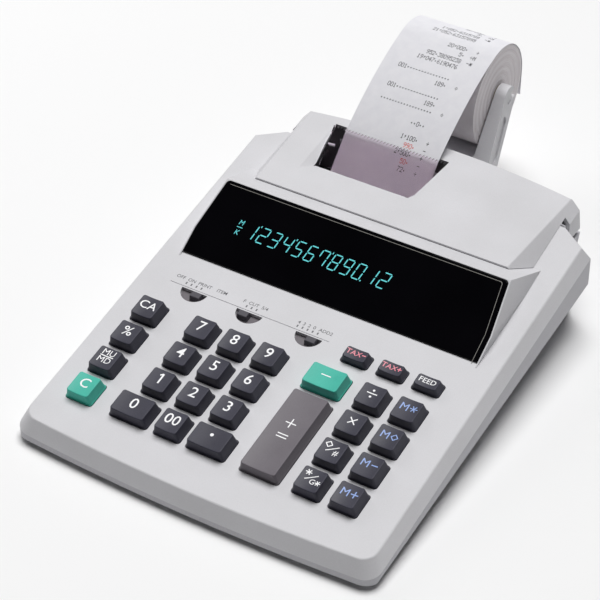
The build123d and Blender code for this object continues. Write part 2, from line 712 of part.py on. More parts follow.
with BuildPart() as printer_frame:
    for x in (plate_left, plate_right):
        block((x, x + plate_gauge), (199, 244), (8, 45))
        cylinder_x(x - 1, x + 3, platen_y, platen_z, axle_radius + running, mode=Mode.SUBTRACT)
        cylinder_x(x - 1, x + 3, rod_y, rod_z, rod_radius, mode=Mode.SUBTRACT)
    block((plate_left, plate_right + plate_gauge), (199, 244), (6.5, 8))
    block((plate_left, plate_right + plate_gauge), (241.5, 244), (8, 22))
    for angle in (pi * 0.9, pi * 1.6):
        y, z = motor_y + 8 * cos(angle), motor_z + 8 * sin(angle)
        cylinder_x(plate_right + plate_gauge - 0.5, gear_x + gear_width + 2, y, z, 1.5)
save(printer_frame, "printer_frame")

with BuildPart() as platen_roller:
    cylinder_x(plate_left + plate_gauge + 2.5, plate_right - 2.5, platen_y, platen_z, platen_radius)
    cylinder_x(plate_left - 3, gear_x + gear_width, platen_y, platen_z, axle_radius)
save(platen_roller, "platen_roller")

pinion_turn = mesh_angle + pi
gear_turn = mesh_angle + pi / gear_teeth
with BuildPart() as platen_gear:
    add(gear(gear_x, platen_y, platen_z, gear_teeth, gear_turn, axle_radius))
save(platen_gear, "platen_gear")

with BuildPart() as motor_pinion:
    add(gear(gear_x, motor_y, motor_z, pinion_teeth, pinion_turn, 1.0))
save(motor_pinion, "motor_pinion")

with BuildPart() as drive_motor:
    cylinder_x(gear_x + gear_width + 2, gear_x + gear_width + 17, motor_y, motor_z, 10.5)
    cylinder_x(gear_x - 0.5, gear_x + gear_width + 2, motor_y, motor_z, 1.0 - running)
    cylinder_x(gear_x + gear_width + 17, gear_x + gear_width + 18.5, motor_y, motor_z, 3)
save(drive_motor, "drive_motor")

with BuildPart() as carriage_rod:
    cylinder_x(plate_left - 1.5, plate_right + plate_gauge + 0.5, rod_y, rod_z, rod_radius)
save(carriage_rod, "carriage_rod")

carriage_width, carriage_travel = 20.0, 50.0
carriage_x = plate_left + plate_gauge + 4
with BuildPart() as print_carriage:
    block((carriage_x, carriage_x + carriage_width), (201, 212), (14, 31))
    block((carriage_x + 5, carriage_x + carriage_width - 5), (211.9, 220.5), (24, 31))
    cylinder_x(carriage_x - 1, carriage_x + 30, rod_y, rod_z, rod_radius + running, mode=Mode.SUBTRACT)
save(print_carriage, "print_carriage")

with BuildPart() as ribbon_cassette:
    block((-60.0, 14.0), (189, 197.5), (22, 37))
    fillet(ribbon_cassette.edges().filter_by(Axis.Y), 3)
    for x in (-46.0, 0.0):
        with BuildSketch(Plane(origin=(x, station(189), 29.5), x_dir=(1, 0, 0), z_dir=(0, -1, 0))):
            Circle(3.2)
        extrude(amount=-3, mode=Mode.SUBTRACT)
save(ribbon_cassette, "ribbon_cassette")

# ---- roll holder --------------------------------------------------------------------
arm_inner_x = 4.9           # inner face of the right arm
arm_width_tip, arm_width_foot = 6.7, 10.4
arm_radius = 7.4            # half the arm's depth, and its rounded tip
elbow_y, elbow_z = 285.5, 24.5
heel_radius = 6.4           # half the depth of the arm's foot, round the shaft
pin_end_radius = 3.0


def bar_between(start, end, radius):
    # A bar with round ends between two (station, z) points, for a sketch across the machine.
    run, rise = end[0] - start[0], end[1] - start[1]
    middle = (station(start[0] + run / 2), start[1] + rise / 2, 0)
    with Locations(Location(middle, (0, 0, atan2(rise, run) * 180 / pi))):
        SlotCenterToCenter(sqrt(run**2 + rise**2), 2 * radius)


def cross_plane(x):
    return Plane(origin=(x, 0, 0), x_dir=(0, 1, 0), z_dir=(1, 0, 0))


hub, elbow, shaft = (roll_y, roll_z), (elbow_y, elbow_z), (shaft_y, shaft_z)
arm_run = Vector(0, roll_y - elbow_y, roll_z - elbow_z)
flare = (arm_width_foot - arm_width_tip) / arm_run.length
along_arm = arm_run.normalized()
with BuildPart() as roll_arm_right:
    with BuildSketch(cross_plane(arm_inner_x)):
        bar_between(elbow, hub, arm_radius)
        bar_between(shaft, elbow, heel_radius)
    extrude(amount=arm_width_foot + 1)
    outer_face = Plane(
        origin=(arm_inner_x + arm_width_tip, station(roll_y), roll_z),
        z_dir=(1, along_arm.Y * flare, along_arm.Z * flare),
    )
    split(bisect_by=outer_face, keep=Keep.BOTTOM)
    outline = roll_arm_right.faces().sort_by(Axis.X)[-1].edges()
    fillet(outline, 0.8)
    for y, z, radius in ((roll_y, roll_z, pin_end_radius + running), (shaft_y, shaft_z, shaft_radius)):
        cylinder_x(arm_inner_x - 1, arm_inner_x + 20, y, z, radius, mode=Mode.SUBTRACT)
    # mouth of the spindle hook, narrower than the pin so that it snaps in
    mouth = (roll_y + 9.0, roll_z + 1.5)
    with BuildSketch(cross_plane(arm_inner_x)):
        bar_between(hub, mouth, pin_end_radius - 0.5)
    extrude(amount=20, mode=Mode.SUBTRACT)
    # long groove in the outer face
    groove_top = tuple(h - 0.3 * (h - e) for h, e in zip(hub, elbow))
    groove_foot = tuple(h - 0.72 * (h - e) for h, e in zip(hub, elbow))
    with BuildSketch(outer_face.offset(-1.0)):
        ends = [outer_face.to_local_coords(Vector(0, station(y), z)) for y, z in (groove_top, groove_foot)]
        run = ends[1] - ends[0]
        middle = (ends[0] + ends[1]) / 2
        with Locations(Location((middle.X, middle.Y, 0), (0, 0, atan2(run.Y, run.X) * 180 / pi))):
            SlotCenterToCenter(sqrt(run.X**2 + run.Y**2), 6.4)
    extrude(amount=8, mode=Mode.SUBTRACT)
save(roll_arm_right, "roll_arm_right")

with BuildPart() as roll_arm_left:
    add(mirror(roll_arm_right.part, about=Plane(origin=(paper_x, 0, 0), z_dir=(1, 0, 0))))
save(roll_arm_left, "roll_arm_left")

with BuildPart() as holder_shaft:
    cylinder_x(lug_x[0] - 3.5, lug_x[1] + 3.5, shaft_y, shaft_z, shaft_radius)
    chamfer(holder_shaft.edges(), 0.4)
save(holder_shaft, "holder_shaft")

core_outer, core_bore, spindle_radius = 6.5, 5.2, 5.15
paper_left, paper_right = paper_x - paper_width / 2, paper_x + paper_width / 2
tip_left, tip_right = 2 * paper_x - arm_inner_x - 6.2, arm_inner_x + 6.2
with BuildPart() as roll_spindle:
    cylinder_x(paper_left + 0.2, paper_right - 0.2, roll_y, roll_z, spindle_radius)
    cylinder_x(tip_left, tip_right, roll_y, roll_z, pin_end_radius)
    chamfer(roll_spindle.edges().group_by(Axis.X)[0] + roll_spindle.edges().group_by(Axis.X)[-1], 0.5)
save(roll_spindle, "roll_spindle")

with BuildPart() as roll_core:
    cylinder_x(paper_left, paper_right, roll_y, roll_z, core_outer)
    cylinder_x(paper_left - 1, paper_right + 1, roll_y, roll_z, core_bore, mode=Mode.SUBTRACT)
save(roll_core, "roll_core")

with BuildPart() as paper_roll:
    cylinder_x(paper_left, paper_right, roll_y, roll_z, roll_radius)
    cylinder_x(paper_left - 1, paper_right + 1, roll_y, roll_z, core_outer, mode=Mode.SUBTRACT)
save(paper_roll, "paper_roll")

# ---- paper tape ---------------------------------------------------------------------
# From the underside of the roll it runs forward through the gap over the rear wall, under and
# round the platen, up past the tear-off edge, over the roll and down behind it.
inlet = (257.0, rear_top_z + 1.2)
exit_z = 60.6
exit_slope, landing_angle = radians(36), radians(105)
tail_z = 46.0
lap_radius = roll_radius + paper_gap + tape_thickness / 2
wrap_radius = platen_radius + paper_gap + tape_thickness / 2


def tangent_point(centre, radius, point):
    # Where the lower tangent from an outside point touches a circle, in (station, z).
    run, rise = centre[0] - point[0], centre[1] - point[1]
    reach = sqrt(run**2 + rise**2)
    side = 1 if run > 0 else -1
    heading = atan2(rise, run) - side * asin(radius / reach)
    length = sqrt(reach**2 - radius**2)
    return (point[0] + length * cos(heading), point[1] + length * sin(heading))


def on_circle(centre, radius, angle):
    return (centre[0] + radius * cos(angle), centre[1] + radius * sin(angle))


platen = (platen_y, platen_z)
roll_touch = tangent_point(hub, lap_radius, inlet)
platen_touch = tangent_point(platen, wrap_radius, inlet)
platen_leave = on_circle(platen, wrap_radius, radians(135))
exit_point = (platen_leave[0] + exit_z - platen_leave[1], exit_z)
landing = on_circle(hub, lap_radius, landing_angle)
tail_start = on_circle(hub, lap_radius, 0)
path = [roll_touch, inlet, platen_touch, platen_leave, exit_point, landing, tail_start]
roll_touch, inlet, platen_touch, platen_leave, exit_point, landing, tail_start = [
    (station(y), z) for y, z in path
]
platen_front = on_circle((station(platen_y), platen_z), wrap_radius, radians(190))
roll_rear = on_circle((station(roll_y), roll_z), lap_radius, radians(50))
with BuildPart() as paper_tape:
    with BuildSketch(cross_plane(paper_left)):
        with BuildLine() as route:
            Line(roll_touch, inlet)
            Line(inlet, platen_touch)
            ThreePointArc(platen_touch, platen_front, platen_leave)
            Line(platen_leave, exit_point)
            Spline(
                exit_point,
                landing,
                tangents=[(cos(exit_slope), sin(exit_slope)), (sin(landing_angle), -cos(landing_angle))],
            )
            ThreePointArc(landing, roll_rear, tail_start)
            Line(tail_start, (tail_start[0], tail_z))
        trace(line_width=tape_thickness)
    extrude(amount=paper_width)
save(paper_tape, "paper_tape")
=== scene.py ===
import json
from math import asin, atan2, cos, pi, radians, sin, sqrt, tan

import bpy
import numpy as np
from mathutils import Vector
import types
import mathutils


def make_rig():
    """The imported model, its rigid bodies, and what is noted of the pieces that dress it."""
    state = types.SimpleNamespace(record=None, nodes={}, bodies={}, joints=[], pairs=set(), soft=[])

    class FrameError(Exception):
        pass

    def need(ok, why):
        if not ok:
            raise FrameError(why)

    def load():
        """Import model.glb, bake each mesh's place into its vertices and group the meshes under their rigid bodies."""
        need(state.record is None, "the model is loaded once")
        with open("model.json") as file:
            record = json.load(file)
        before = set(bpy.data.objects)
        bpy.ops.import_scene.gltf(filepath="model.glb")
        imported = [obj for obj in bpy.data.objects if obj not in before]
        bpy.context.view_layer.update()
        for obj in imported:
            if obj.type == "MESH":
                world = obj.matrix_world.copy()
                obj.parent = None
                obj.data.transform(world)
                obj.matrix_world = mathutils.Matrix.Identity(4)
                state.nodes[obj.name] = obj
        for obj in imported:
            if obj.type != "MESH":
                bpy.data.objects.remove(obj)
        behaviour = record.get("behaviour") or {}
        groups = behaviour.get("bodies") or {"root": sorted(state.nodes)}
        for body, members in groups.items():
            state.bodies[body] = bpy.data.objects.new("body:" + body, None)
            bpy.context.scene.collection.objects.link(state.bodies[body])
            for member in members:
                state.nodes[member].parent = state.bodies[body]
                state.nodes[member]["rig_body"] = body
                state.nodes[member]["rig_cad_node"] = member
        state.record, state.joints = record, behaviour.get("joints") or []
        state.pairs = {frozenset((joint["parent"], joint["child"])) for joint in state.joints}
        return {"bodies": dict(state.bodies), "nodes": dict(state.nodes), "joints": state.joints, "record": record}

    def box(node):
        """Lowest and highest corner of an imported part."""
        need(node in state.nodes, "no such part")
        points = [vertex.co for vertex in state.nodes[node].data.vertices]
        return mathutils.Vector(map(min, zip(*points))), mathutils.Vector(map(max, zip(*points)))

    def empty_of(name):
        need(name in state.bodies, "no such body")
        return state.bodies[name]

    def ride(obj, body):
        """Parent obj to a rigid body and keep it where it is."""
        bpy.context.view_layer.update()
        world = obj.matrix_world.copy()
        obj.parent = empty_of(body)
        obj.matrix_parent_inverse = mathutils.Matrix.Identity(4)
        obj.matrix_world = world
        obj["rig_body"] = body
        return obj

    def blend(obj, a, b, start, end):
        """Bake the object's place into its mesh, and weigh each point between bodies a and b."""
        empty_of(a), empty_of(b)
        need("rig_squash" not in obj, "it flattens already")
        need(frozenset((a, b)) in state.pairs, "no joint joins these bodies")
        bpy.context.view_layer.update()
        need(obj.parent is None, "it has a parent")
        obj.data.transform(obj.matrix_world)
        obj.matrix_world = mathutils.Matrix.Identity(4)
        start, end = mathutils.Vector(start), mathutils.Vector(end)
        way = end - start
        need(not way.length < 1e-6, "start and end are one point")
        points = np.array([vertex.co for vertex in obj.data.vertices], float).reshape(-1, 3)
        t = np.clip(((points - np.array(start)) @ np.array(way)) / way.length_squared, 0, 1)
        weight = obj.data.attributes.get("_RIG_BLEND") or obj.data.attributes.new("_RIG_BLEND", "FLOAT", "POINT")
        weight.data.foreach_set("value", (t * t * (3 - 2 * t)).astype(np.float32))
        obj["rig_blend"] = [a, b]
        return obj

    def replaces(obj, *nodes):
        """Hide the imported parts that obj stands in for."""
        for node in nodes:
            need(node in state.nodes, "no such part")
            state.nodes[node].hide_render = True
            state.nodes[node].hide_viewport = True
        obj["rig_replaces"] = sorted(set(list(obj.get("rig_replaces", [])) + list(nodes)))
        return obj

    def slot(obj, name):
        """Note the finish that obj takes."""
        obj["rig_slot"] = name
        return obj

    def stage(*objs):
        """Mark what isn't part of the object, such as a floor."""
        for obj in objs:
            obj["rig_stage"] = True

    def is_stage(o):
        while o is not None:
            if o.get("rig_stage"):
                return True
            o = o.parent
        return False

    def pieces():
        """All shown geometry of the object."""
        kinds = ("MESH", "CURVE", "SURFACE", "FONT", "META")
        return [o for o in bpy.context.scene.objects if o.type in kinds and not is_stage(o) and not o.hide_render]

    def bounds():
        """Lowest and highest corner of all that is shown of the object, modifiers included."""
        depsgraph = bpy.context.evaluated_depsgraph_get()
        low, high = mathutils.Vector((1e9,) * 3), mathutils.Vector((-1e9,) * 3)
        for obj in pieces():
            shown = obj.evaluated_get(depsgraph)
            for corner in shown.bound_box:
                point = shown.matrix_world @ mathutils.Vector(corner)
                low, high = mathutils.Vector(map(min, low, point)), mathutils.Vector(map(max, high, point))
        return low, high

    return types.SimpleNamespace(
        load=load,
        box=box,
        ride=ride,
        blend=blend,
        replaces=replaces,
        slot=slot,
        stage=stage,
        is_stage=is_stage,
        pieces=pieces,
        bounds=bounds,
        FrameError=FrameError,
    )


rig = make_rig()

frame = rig.load()
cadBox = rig.bounds()
nodes = frame["nodes"]
print("frame loaded:", len(nodes), "parts")

mm = 0.001
sharpAngle = radians(40)    # edges that turn more than this are drawn sharp

# Stations are millimetres behind the key deck's front edge.
rollLow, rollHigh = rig.box("paper_roll")
rollStation, rollHeight = 314.0, (rollLow.z + rollHigh.z) / 2 / mm
rollRadius = (rollHigh.z - rollLow.z) / 2 / mm
zeroY = (rollLow.y + rollHigh.y) / 2 / mm - rollStation
paperLeft, paperRight = rollLow.x / mm, rollHigh.x / mm
deckSlope = radians(9.5)
deckEdge = 14.9
deckNormal = np.array([0.0, -sin(deckSlope), cos(deckSlope)])
deckUp = np.array([0.0, cos(deckSlope), sin(deckSlope)])
deckStart = np.array([0.0, zeroY, deckEdge])


def makeObject(name, points, faces, smooth=True):
    # one finished object at the origin, from points in millimetres and rows of vertex numbers
    mesh = bpy.data.meshes.new(name)
    mesh.from_pydata((np.asarray(points) * mm).tolist(), [], [list(map(int, f)) for f in faces])
    mesh.update()
    if smooth:
        mesh.shade_smooth()
        mesh.set_sharp_from_angle(angle=sharpAngle)
    else:
        mesh.shade_flat()
    obj = bpy.data.objects.new(name, mesh)
    bpy.context.scene.collection.objects.link(obj)
    return obj


def gridFaces(rows, columns, wrapRows=False, wrapColumns=False):
    # quads between neighbours of a rows x columns grid of points
    r = np.arange(rows if wrapRows else rows - 1)[:, None]
    c = np.arange(columns if wrapColumns else columns - 1)[None, :]
    r2, c2 = (r + 1) % rows, (c + 1) % columns
    quads = [r * columns + c, r * columns + c2, r2 * columns + c2, r2 * columns + c]
    return np.stack([np.broadcast_to(q, (r.size, c.size)) for q in quads], -1).reshape(-1, 4)


def onDeck(x, s, h):
    # a point of the key deck: x across, s up its slope, h above it
    x, s, h = np.broadcast_arrays(np.asarray(x, float), s, h)
    return deckStart + np.stack([x, 0 * x, 0 * x], -1) + s[..., None] * deckUp + h[..., None] * deckNormal


def prisms(outlines, place, low, high):
    # Flat shapes given thickness: each outline is a ring of (a, b), and place(a, b, height)
    # gives the point in space, so the same shapes can lie on a flat or a curved surface.
    points, faces, start = [], [], 0
    for ring in outlines:
        ring = np.asarray(ring, float)
        n = len(ring)
        points += [place(ring[:, 0], ring[:, 1], low), place(ring[:, 0], ring[:, 1], high)]
        faces.append(list(range(start + n - 1, start - 1, -1)))
        faces.append(list(range(start + n, start + 2 * n)))
        faces += [[start + i, start + (i + 1) % n, start + n + (i + 1) % n, start + n + i] for i in range(n)]
        start += 2 * n
    return np.concatenate(points), faces


inkHeight = 0.05    # half the thickness of a printed legend


def textMesh(text, size, bold=0.0):
    # a line of text as points and faces with a little thickness, its middle at the origin
    curve = bpy.data.curves.new("lettering", "FONT")
    curve.body, curve.size = text, size
    curve.align_x, curve.align_y = "CENTER", "CENTER"
    curve.offset, curve.extrude, curve.resolution_u = bold, inkHeight, 3
    holder = bpy.data.objects.new("lettering", curve)
    bpy.context.scene.collection.objects.link(holder)
    bpy.context.view_layer.update()
    mesh = bpy.data.meshes.new_from_object(holder.evaluated_get(bpy.context.evaluated_depsgraph_get()))
    co = np.zeros(len(mesh.vertices) * 3)
    mesh.vertices.foreach_get("co", co)
    faces = [list(p.vertices) for p in mesh.polygons]
    bpy.data.objects.remove(holder)
    bpy.data.meshes.remove(mesh)
    bpy.data.curves.remove(curve)
    co = co.reshape(-1, 3)
    if len(co):
        co[:, :2] -= (co[:, :2].min(0) + co[:, :2].max(0)) / 2
    return co, faces


def joinParts(parts):
    # several (points, faces) pairs as one
    points, faces, start = [], [], 0
    for p, f in parts:
        points.append(np.asarray(p))
        faces += [[start + i for i in face] for face in f]
        start += len(p)
    return np.concatenate(points), faces


def startMaterial(name):
    # an empty material with its tree, its shader and the object's own coordinates
    mat = bpy.data.materials.new(name)
    mat.use_nodes = True
    tree = mat.node_tree
    shader = tree.nodes["Principled BSDF"]
    coords = tree.nodes.new("ShaderNodeTexCoord")
    return mat, tree, shader, coords.outputs["Object"]


def noise(tree, vector, scale, detail=3.0, rough=0.55):
    # sums of ever finer smooth random waves
    node = tree.nodes.new("ShaderNodeTexNoise")
    node.inputs["Scale"].default_value = scale
    node.inputs["Detail"].default_value = detail
    node.inputs["Roughness"].default_value = rough
    tree.links.new(vector, node.inputs["Vector"])
    return node.outputs["Fac"]


def ramp(tree, value, low, high, first, last):
    # first colour up to low, last colour from high
    node = tree.nodes.new("ShaderNodeValToRGB")
    ends = node.color_ramp.elements
    ends[0].position, ends[1].position = low, high
    ends[0].color, ends[1].color = (*first, 1), (*last, 1)
    tree.links.new(value, node.inputs["Fac"])
    return node.outputs["Color"]


def spread(tree, value, low, high):
    # the middle of a noise's values stretched over low to high
    node = tree.nodes.new("ShaderNodeMapRange")
    node.inputs["From Min"].default_value, node.inputs["From Max"].default_value = 0.3, 0.7
    node.inputs["To Min"].default_value, node.inputs["To Max"].default_value = low, high
    tree.links.new(value, node.inputs["Value"])
    return node.outputs["Result"]


def bump(tree, shader, layers):
    # layers of (height, strength, distance in metres), one on top of the other
    last = None
    for height, strength, distance in layers:
        node = tree.nodes.new("ShaderNodeBump")
        node.inputs["Strength"].default_value = strength
        node.inputs["Distance"].default_value = distance
        tree.links.new(height, node.inputs["Height"])
        if last:
            tree.links.new(last, node.inputs["Normal"])
        last = node.outputs["Normal"]
    tree.links.new(last, shader.inputs["Normal"])


def mouldedPlastic(name, look):
    # a spark-eroded mould's grain, faint flow marks, and uneven gloss where hands polish it
    mat, tree, shader, place = startMaterial(name)
    flow = noise(tree, place, look["flowScale"], 4.0)
    grain = noise(tree, place, look["grainScale"], 2.0, 0.6)
    colour = ramp(tree, flow, 0.30, 0.72, look["dark"], look["light"])
    speck = ramp(tree, grain, 0.35, 0.65, (look["speck"],) * 3, (1.0, 1.0, 1.0))
    mix = tree.nodes.new("ShaderNodeMix")
    mix.data_type, mix.blend_type = "RGBA", "MULTIPLY"
    mix.inputs["Factor"].default_value = 1.0
    tree.links.new(colour, mix.inputs["A"])
    tree.links.new(speck, mix.inputs["B"])
    tree.links.new(mix.outputs["Result"], shader.inputs["Base Color"])
    tree.links.new(spread(tree, flow, *look["rough"]), shader.inputs["Roughness"])
    bump(tree, shader, [(grain, look["grainDepth"], 0.00006), (flow, 0.12, 0.00015)])
    shader.inputs["Specular IOR Level"].default_value = look.get("gloss", 0.25)
    shader.inputs["Coat Weight"].default_value = look.get("coat", 0.0)
    shader.inputs["Coat Roughness"].default_value = 0.3
    return mat


plasticLooks = {
    "casingGrey": dict(dark=(0.66, 0.655, 0.675), light=(0.71, 0.705, 0.73), speck=0.94, flowScale=28,
                       grainScale=2600, grainDepth=0.35, rough=(0.42, 0.56)),
    "baseGrey": dict(dark=(0.53, 0.525, 0.555), light=(0.58, 0.575, 0.605), speck=0.93, flowScale=30,
                     grainScale=2600, grainDepth=0.35, rough=(0.44, 0.6)),
    "keySlate": dict(dark=(0.043, 0.042, 0.062), light=(0.058, 0.057, 0.082), speck=0.72, flowScale=60,
                     grainScale=3400, grainDepth=0.5, rough=(0.34, 0.48)),
    "keyGreen": dict(dark=(0.055, 0.47, 0.37), light=(0.075, 0.56, 0.44), speck=0.90, flowScale=60,
                     grainScale=3400, grainDepth=0.4, rough=(0.34, 0.48)),
    "keyGrey": dict(dark=(0.155, 0.140, 0.158), light=(0.185, 0.168, 0.188), speck=0.86, flowScale=50,
                    grainScale=3400, grainDepth=0.45, rough=(0.34, 0.48)),
    "knobGrey": dict(dark=(0.075, 0.070, 0.085), light=(0.095, 0.09, 0.105), speck=0.85, flowScale=90,
                     grainScale=3400, grainDepth=0.4, rough=(0.4, 0.55)),
    "switchBed": dict(dark=(0.15, 0.135, 0.15), light=(0.19, 0.175, 0.19), speck=0.85, flowScale=90,
                      grainScale=3400, grainDepth=0.3, rough=(0.45, 0.6)),
    "blackPlastic": dict(dark=(0.018, 0.017, 0.020), light=(0.030, 0.028, 0.033), speck=0.8, flowScale=70,
                         grainScale=2400, grainDepth=0.4, rough=(0.4, 0.6)),
    "gearNylon": dict(dark=(0.72, 0.70, 0.64), light=(0.80, 0.78, 0.72), speck=0.95, flowScale=90,
                      grainScale=3000, grainDepth=0.2, rough=(0.35, 0.5)),
    "matRubber": dict(dark=(0.55, 0.55, 0.52), light=(0.62, 0.62, 0.58), speck=0.94, flowScale=50,
                      grainScale=2600, grainDepth=0.3, rough=(0.6, 0.8)),
    "footRubber": dict(dark=(0.022, 0.022, 0.023), light=(0.040, 0.039, 0.040), speck=0.8, flowScale=120,
                       grainScale=2200, grainDepth=0.6, rough=(0.65, 0.85), gloss=0.25),
    "platenRubber": dict(dark=(0.02, 0.02, 0.022), light=(0.032, 0.032, 0.034), speck=0.85, flowScale=120,
                         grainScale=3000, grainDepth=0.4, rough=(0.5, 0.7), gloss=0.3),
}
looks = {name: mouldedPlastic(name, look) for name, look in plasticLooks.items()}


def blackLens():
    # smoked acrylic over a black backing: deep black, a little wavy, faint wipe marks in the gloss
    mat, tree, shader, place = startMaterial("blackLens")
    wave = noise(tree, place, 22, 2.0)
    smear = noise(tree, place, 240, 4.0, 0.65)
    tree.links.new(ramp(tree, wave, 0.3, 0.7, (0.0012, 0.0011, 0.0018), (0.0022, 0.0020, 0.0030)),
                   shader.inputs["Base Color"])
    tree.links.new(spread(tree, smear, 0.05, 0.11), shader.inputs["Roughness"])
    bump(tree, shader, [(wave, 0.05, 0.0004)])
    shader.inputs["Specular IOR Level"].default_value = 0.12
    return mat


paintedShadeFront, paintedShadeRear = 211.0, 224.0    # stations where the painted shade is darkest and where it has faded out


def smokedWindow():
    # tinted clear plastic: thin, violet-grey, with fine scratches, and painted shade that deepens
    # towards the front edge, where the platen and print bar below shade it
    mat, tree, shader, place = startMaterial("smokedWindow")
    axes = tree.nodes.new("ShaderNodeSeparateXYZ")
    tree.links.new(place, axes.inputs["Vector"])
    fade = tree.nodes.new("ShaderNodeMapRange")
    fade.inputs["From Min"].default_value = (zeroY + paintedShadeFront) * mm
    fade.inputs["From Max"].default_value = (zeroY + paintedShadeRear) * mm
    tree.links.new(axes.outputs["Y"], fade.inputs["Value"])
    scratch = noise(tree, place, 1500, 2.0, 0.7)
    # the dark front colour is painted shade, not a deeper tint
    tree.links.new(ramp(tree, fade.outputs["Result"], 0.0, 1.0, (0.22, 0.17, 0.20), (0.87, 0.79, 0.85)),
                   shader.inputs["Base Color"])
    tree.links.new(spread(tree, scratch, 0.04, 0.12), shader.inputs["Roughness"])
    bump(tree, shader, [(scratch, 0.05, 0.00003)])
    shader.inputs["Transmission Weight"].default_value = 1.0
    shader.inputs["IOR"].default_value = 1.12
    shader.inputs["Specular IOR Level"].default_value = 0.3
    return mat


def metal(name, dark, light, rough, brushed):
    # drawn or rolled metal: fine streaks along one axis, darker in patches
    mat, tree, shader, place = startMaterial(name)
    stretch = tree.nodes.new("ShaderNodeMapping")
    stretch.inputs["Scale"].default_value = brushed
    tree.links.new(place, stretch.inputs["Vector"])
    streak = noise(tree, stretch.outputs["Vector"], 900, 4.0, 0.7)
    patch = noise(tree, place, 70, 3.0)
    tree.links.new(ramp(tree, patch, 0.3, 0.7, dark, light), shader.inputs["Base Color"])
    tree.links.new(spread(tree, streak, *rough), shader.inputs["Roughness"])
    bump(tree, shader, [(streak, 0.15, 0.00003)])
    shader.inputs["Metallic"].default_value = 1.0
    return mat


def paperStock():
    # uncoated roll paper: cloudy fibres, a faint tooth and no shine
    mat, tree, shader, place = startMaterial("paperStock")
    cloud = noise(tree, place, 180, 5.0, 0.6)
    tooth = noise(tree, place, 5200, 3.0, 0.7)
    tree.links.new(ramp(tree, cloud, 0.3, 0.75, (0.78, 0.775, 0.815), (0.84, 0.835, 0.865)),
                   shader.inputs["Base Color"])
    tree.links.new(spread(tree, cloud, 0.78, 0.9), shader.inputs["Roughness"])
    bump(tree, shader, [(tooth, 0.2, 0.00003)])
    shader.inputs["Specular IOR Level"].default_value = 0.15
    return mat


def rollEdges():
    # the cut ends of the windings: rings round the roll's axis, a little uneven in tone
    mat, tree, shader, place = startMaterial("rollEdges")
    centre = tree.nodes.new("ShaderNodeMapping")
    centre.vector_type = "POINT"
    centre.inputs["Location"].default_value = (0, -(zeroY + rollStation) * mm, -rollHeight * mm)
    tree.links.new(place, centre.inputs["Vector"])
    rings = tree.nodes.new("ShaderNodeTexWave")
    rings.wave_type, rings.rings_direction = "RINGS", "X"
    rings.inputs["Scale"].default_value = 330
    rings.inputs["Distortion"].default_value = 0.6
    rings.inputs["Detail"].default_value = 2.0
    tree.links.new(centre.outputs["Vector"], rings.inputs["Vector"])
    broad = tree.nodes.new("ShaderNodeTexWave")
    broad.wave_type, broad.rings_direction = "RINGS", "X"
    broad.inputs["Scale"].default_value = 71
    broad.inputs["Distortion"].default_value = 1.6
    tree.links.new(centre.outputs["Vector"], broad.inputs["Vector"])
    fine = ramp(tree, rings.outputs["Fac"], 0.1, 0.9, (0.90, 0.88, 0.88), (1.0, 1.0, 1.0))
    tone = ramp(tree, broad.outputs["Fac"], 0.1, 0.9, (0.80, 0.76, 0.78), (0.88, 0.85, 0.87))
    mix = tree.nodes.new("ShaderNodeMix")
    mix.data_type, mix.blend_type = "RGBA", "MULTIPLY"
    mix.inputs["Factor"].default_value = 1.0
    tree.links.new(tone, mix.inputs["A"])
    tree.links.new(fine, mix.inputs["B"])
    tree.links.new(mix.outputs["Result"], shader.inputs["Base Color"])
    bump(tree, shader, [(rings.outputs["Fac"], 0.3, 0.0001)])
    shader.inputs["Roughness"].default_value = 0.85
    return mat


def printed(name, dark, light, rough=(0.5, 0.7), glow=0.0):
    # ink or pad-printed paint: slightly uneven cover, emitting light where glow is given
    mat, tree, shader, place = startMaterial(name)
    cover = noise(tree, place, 900, 3.0, 0.6)
    colour = ramp(tree, cover, 0.3, 0.7, dark, light)
    tree.links.new(colour, shader.inputs["Base Color"])
    tree.links.new(spread(tree, cover, *rough), shader.inputs["Roughness"])
    if glow:
        tree.links.new(colour, shader.inputs["Emission Color"])
        shader.inputs["Emission Strength"].default_value = glow
    return mat


def circuitBoard():
    # solder mask over copper: broad tracks showing through as a slightly lighter green
    mat, tree, shader, place = startMaterial("circuitBoard")
    tracks = tree.nodes.new("ShaderNodeTexBrick")
    tracks.inputs["Scale"].default_value = 260
    tracks.inputs["Mortar Size"].default_value = 0.03
    tracks.inputs["Color1"].default_value = (0.025, 0.13, 0.06, 1)
    tracks.inputs["Color2"].default_value = (0.030, 0.16, 0.075, 1)
    tracks.inputs["Mortar"].default_value = (0.07, 0.27, 0.14, 1)
    tree.links.new(place, tracks.inputs["Vector"])
    tree.links.new(tracks.outputs["Color"], shader.inputs["Base Color"])
    tree.links.new(spread(tree, noise(tree, place, 300), 0.3, 0.45), shader.inputs["Roughness"])
    bump(tree, shader, [(tracks.outputs["Fac"], 0.2, 0.00005)])
    return mat


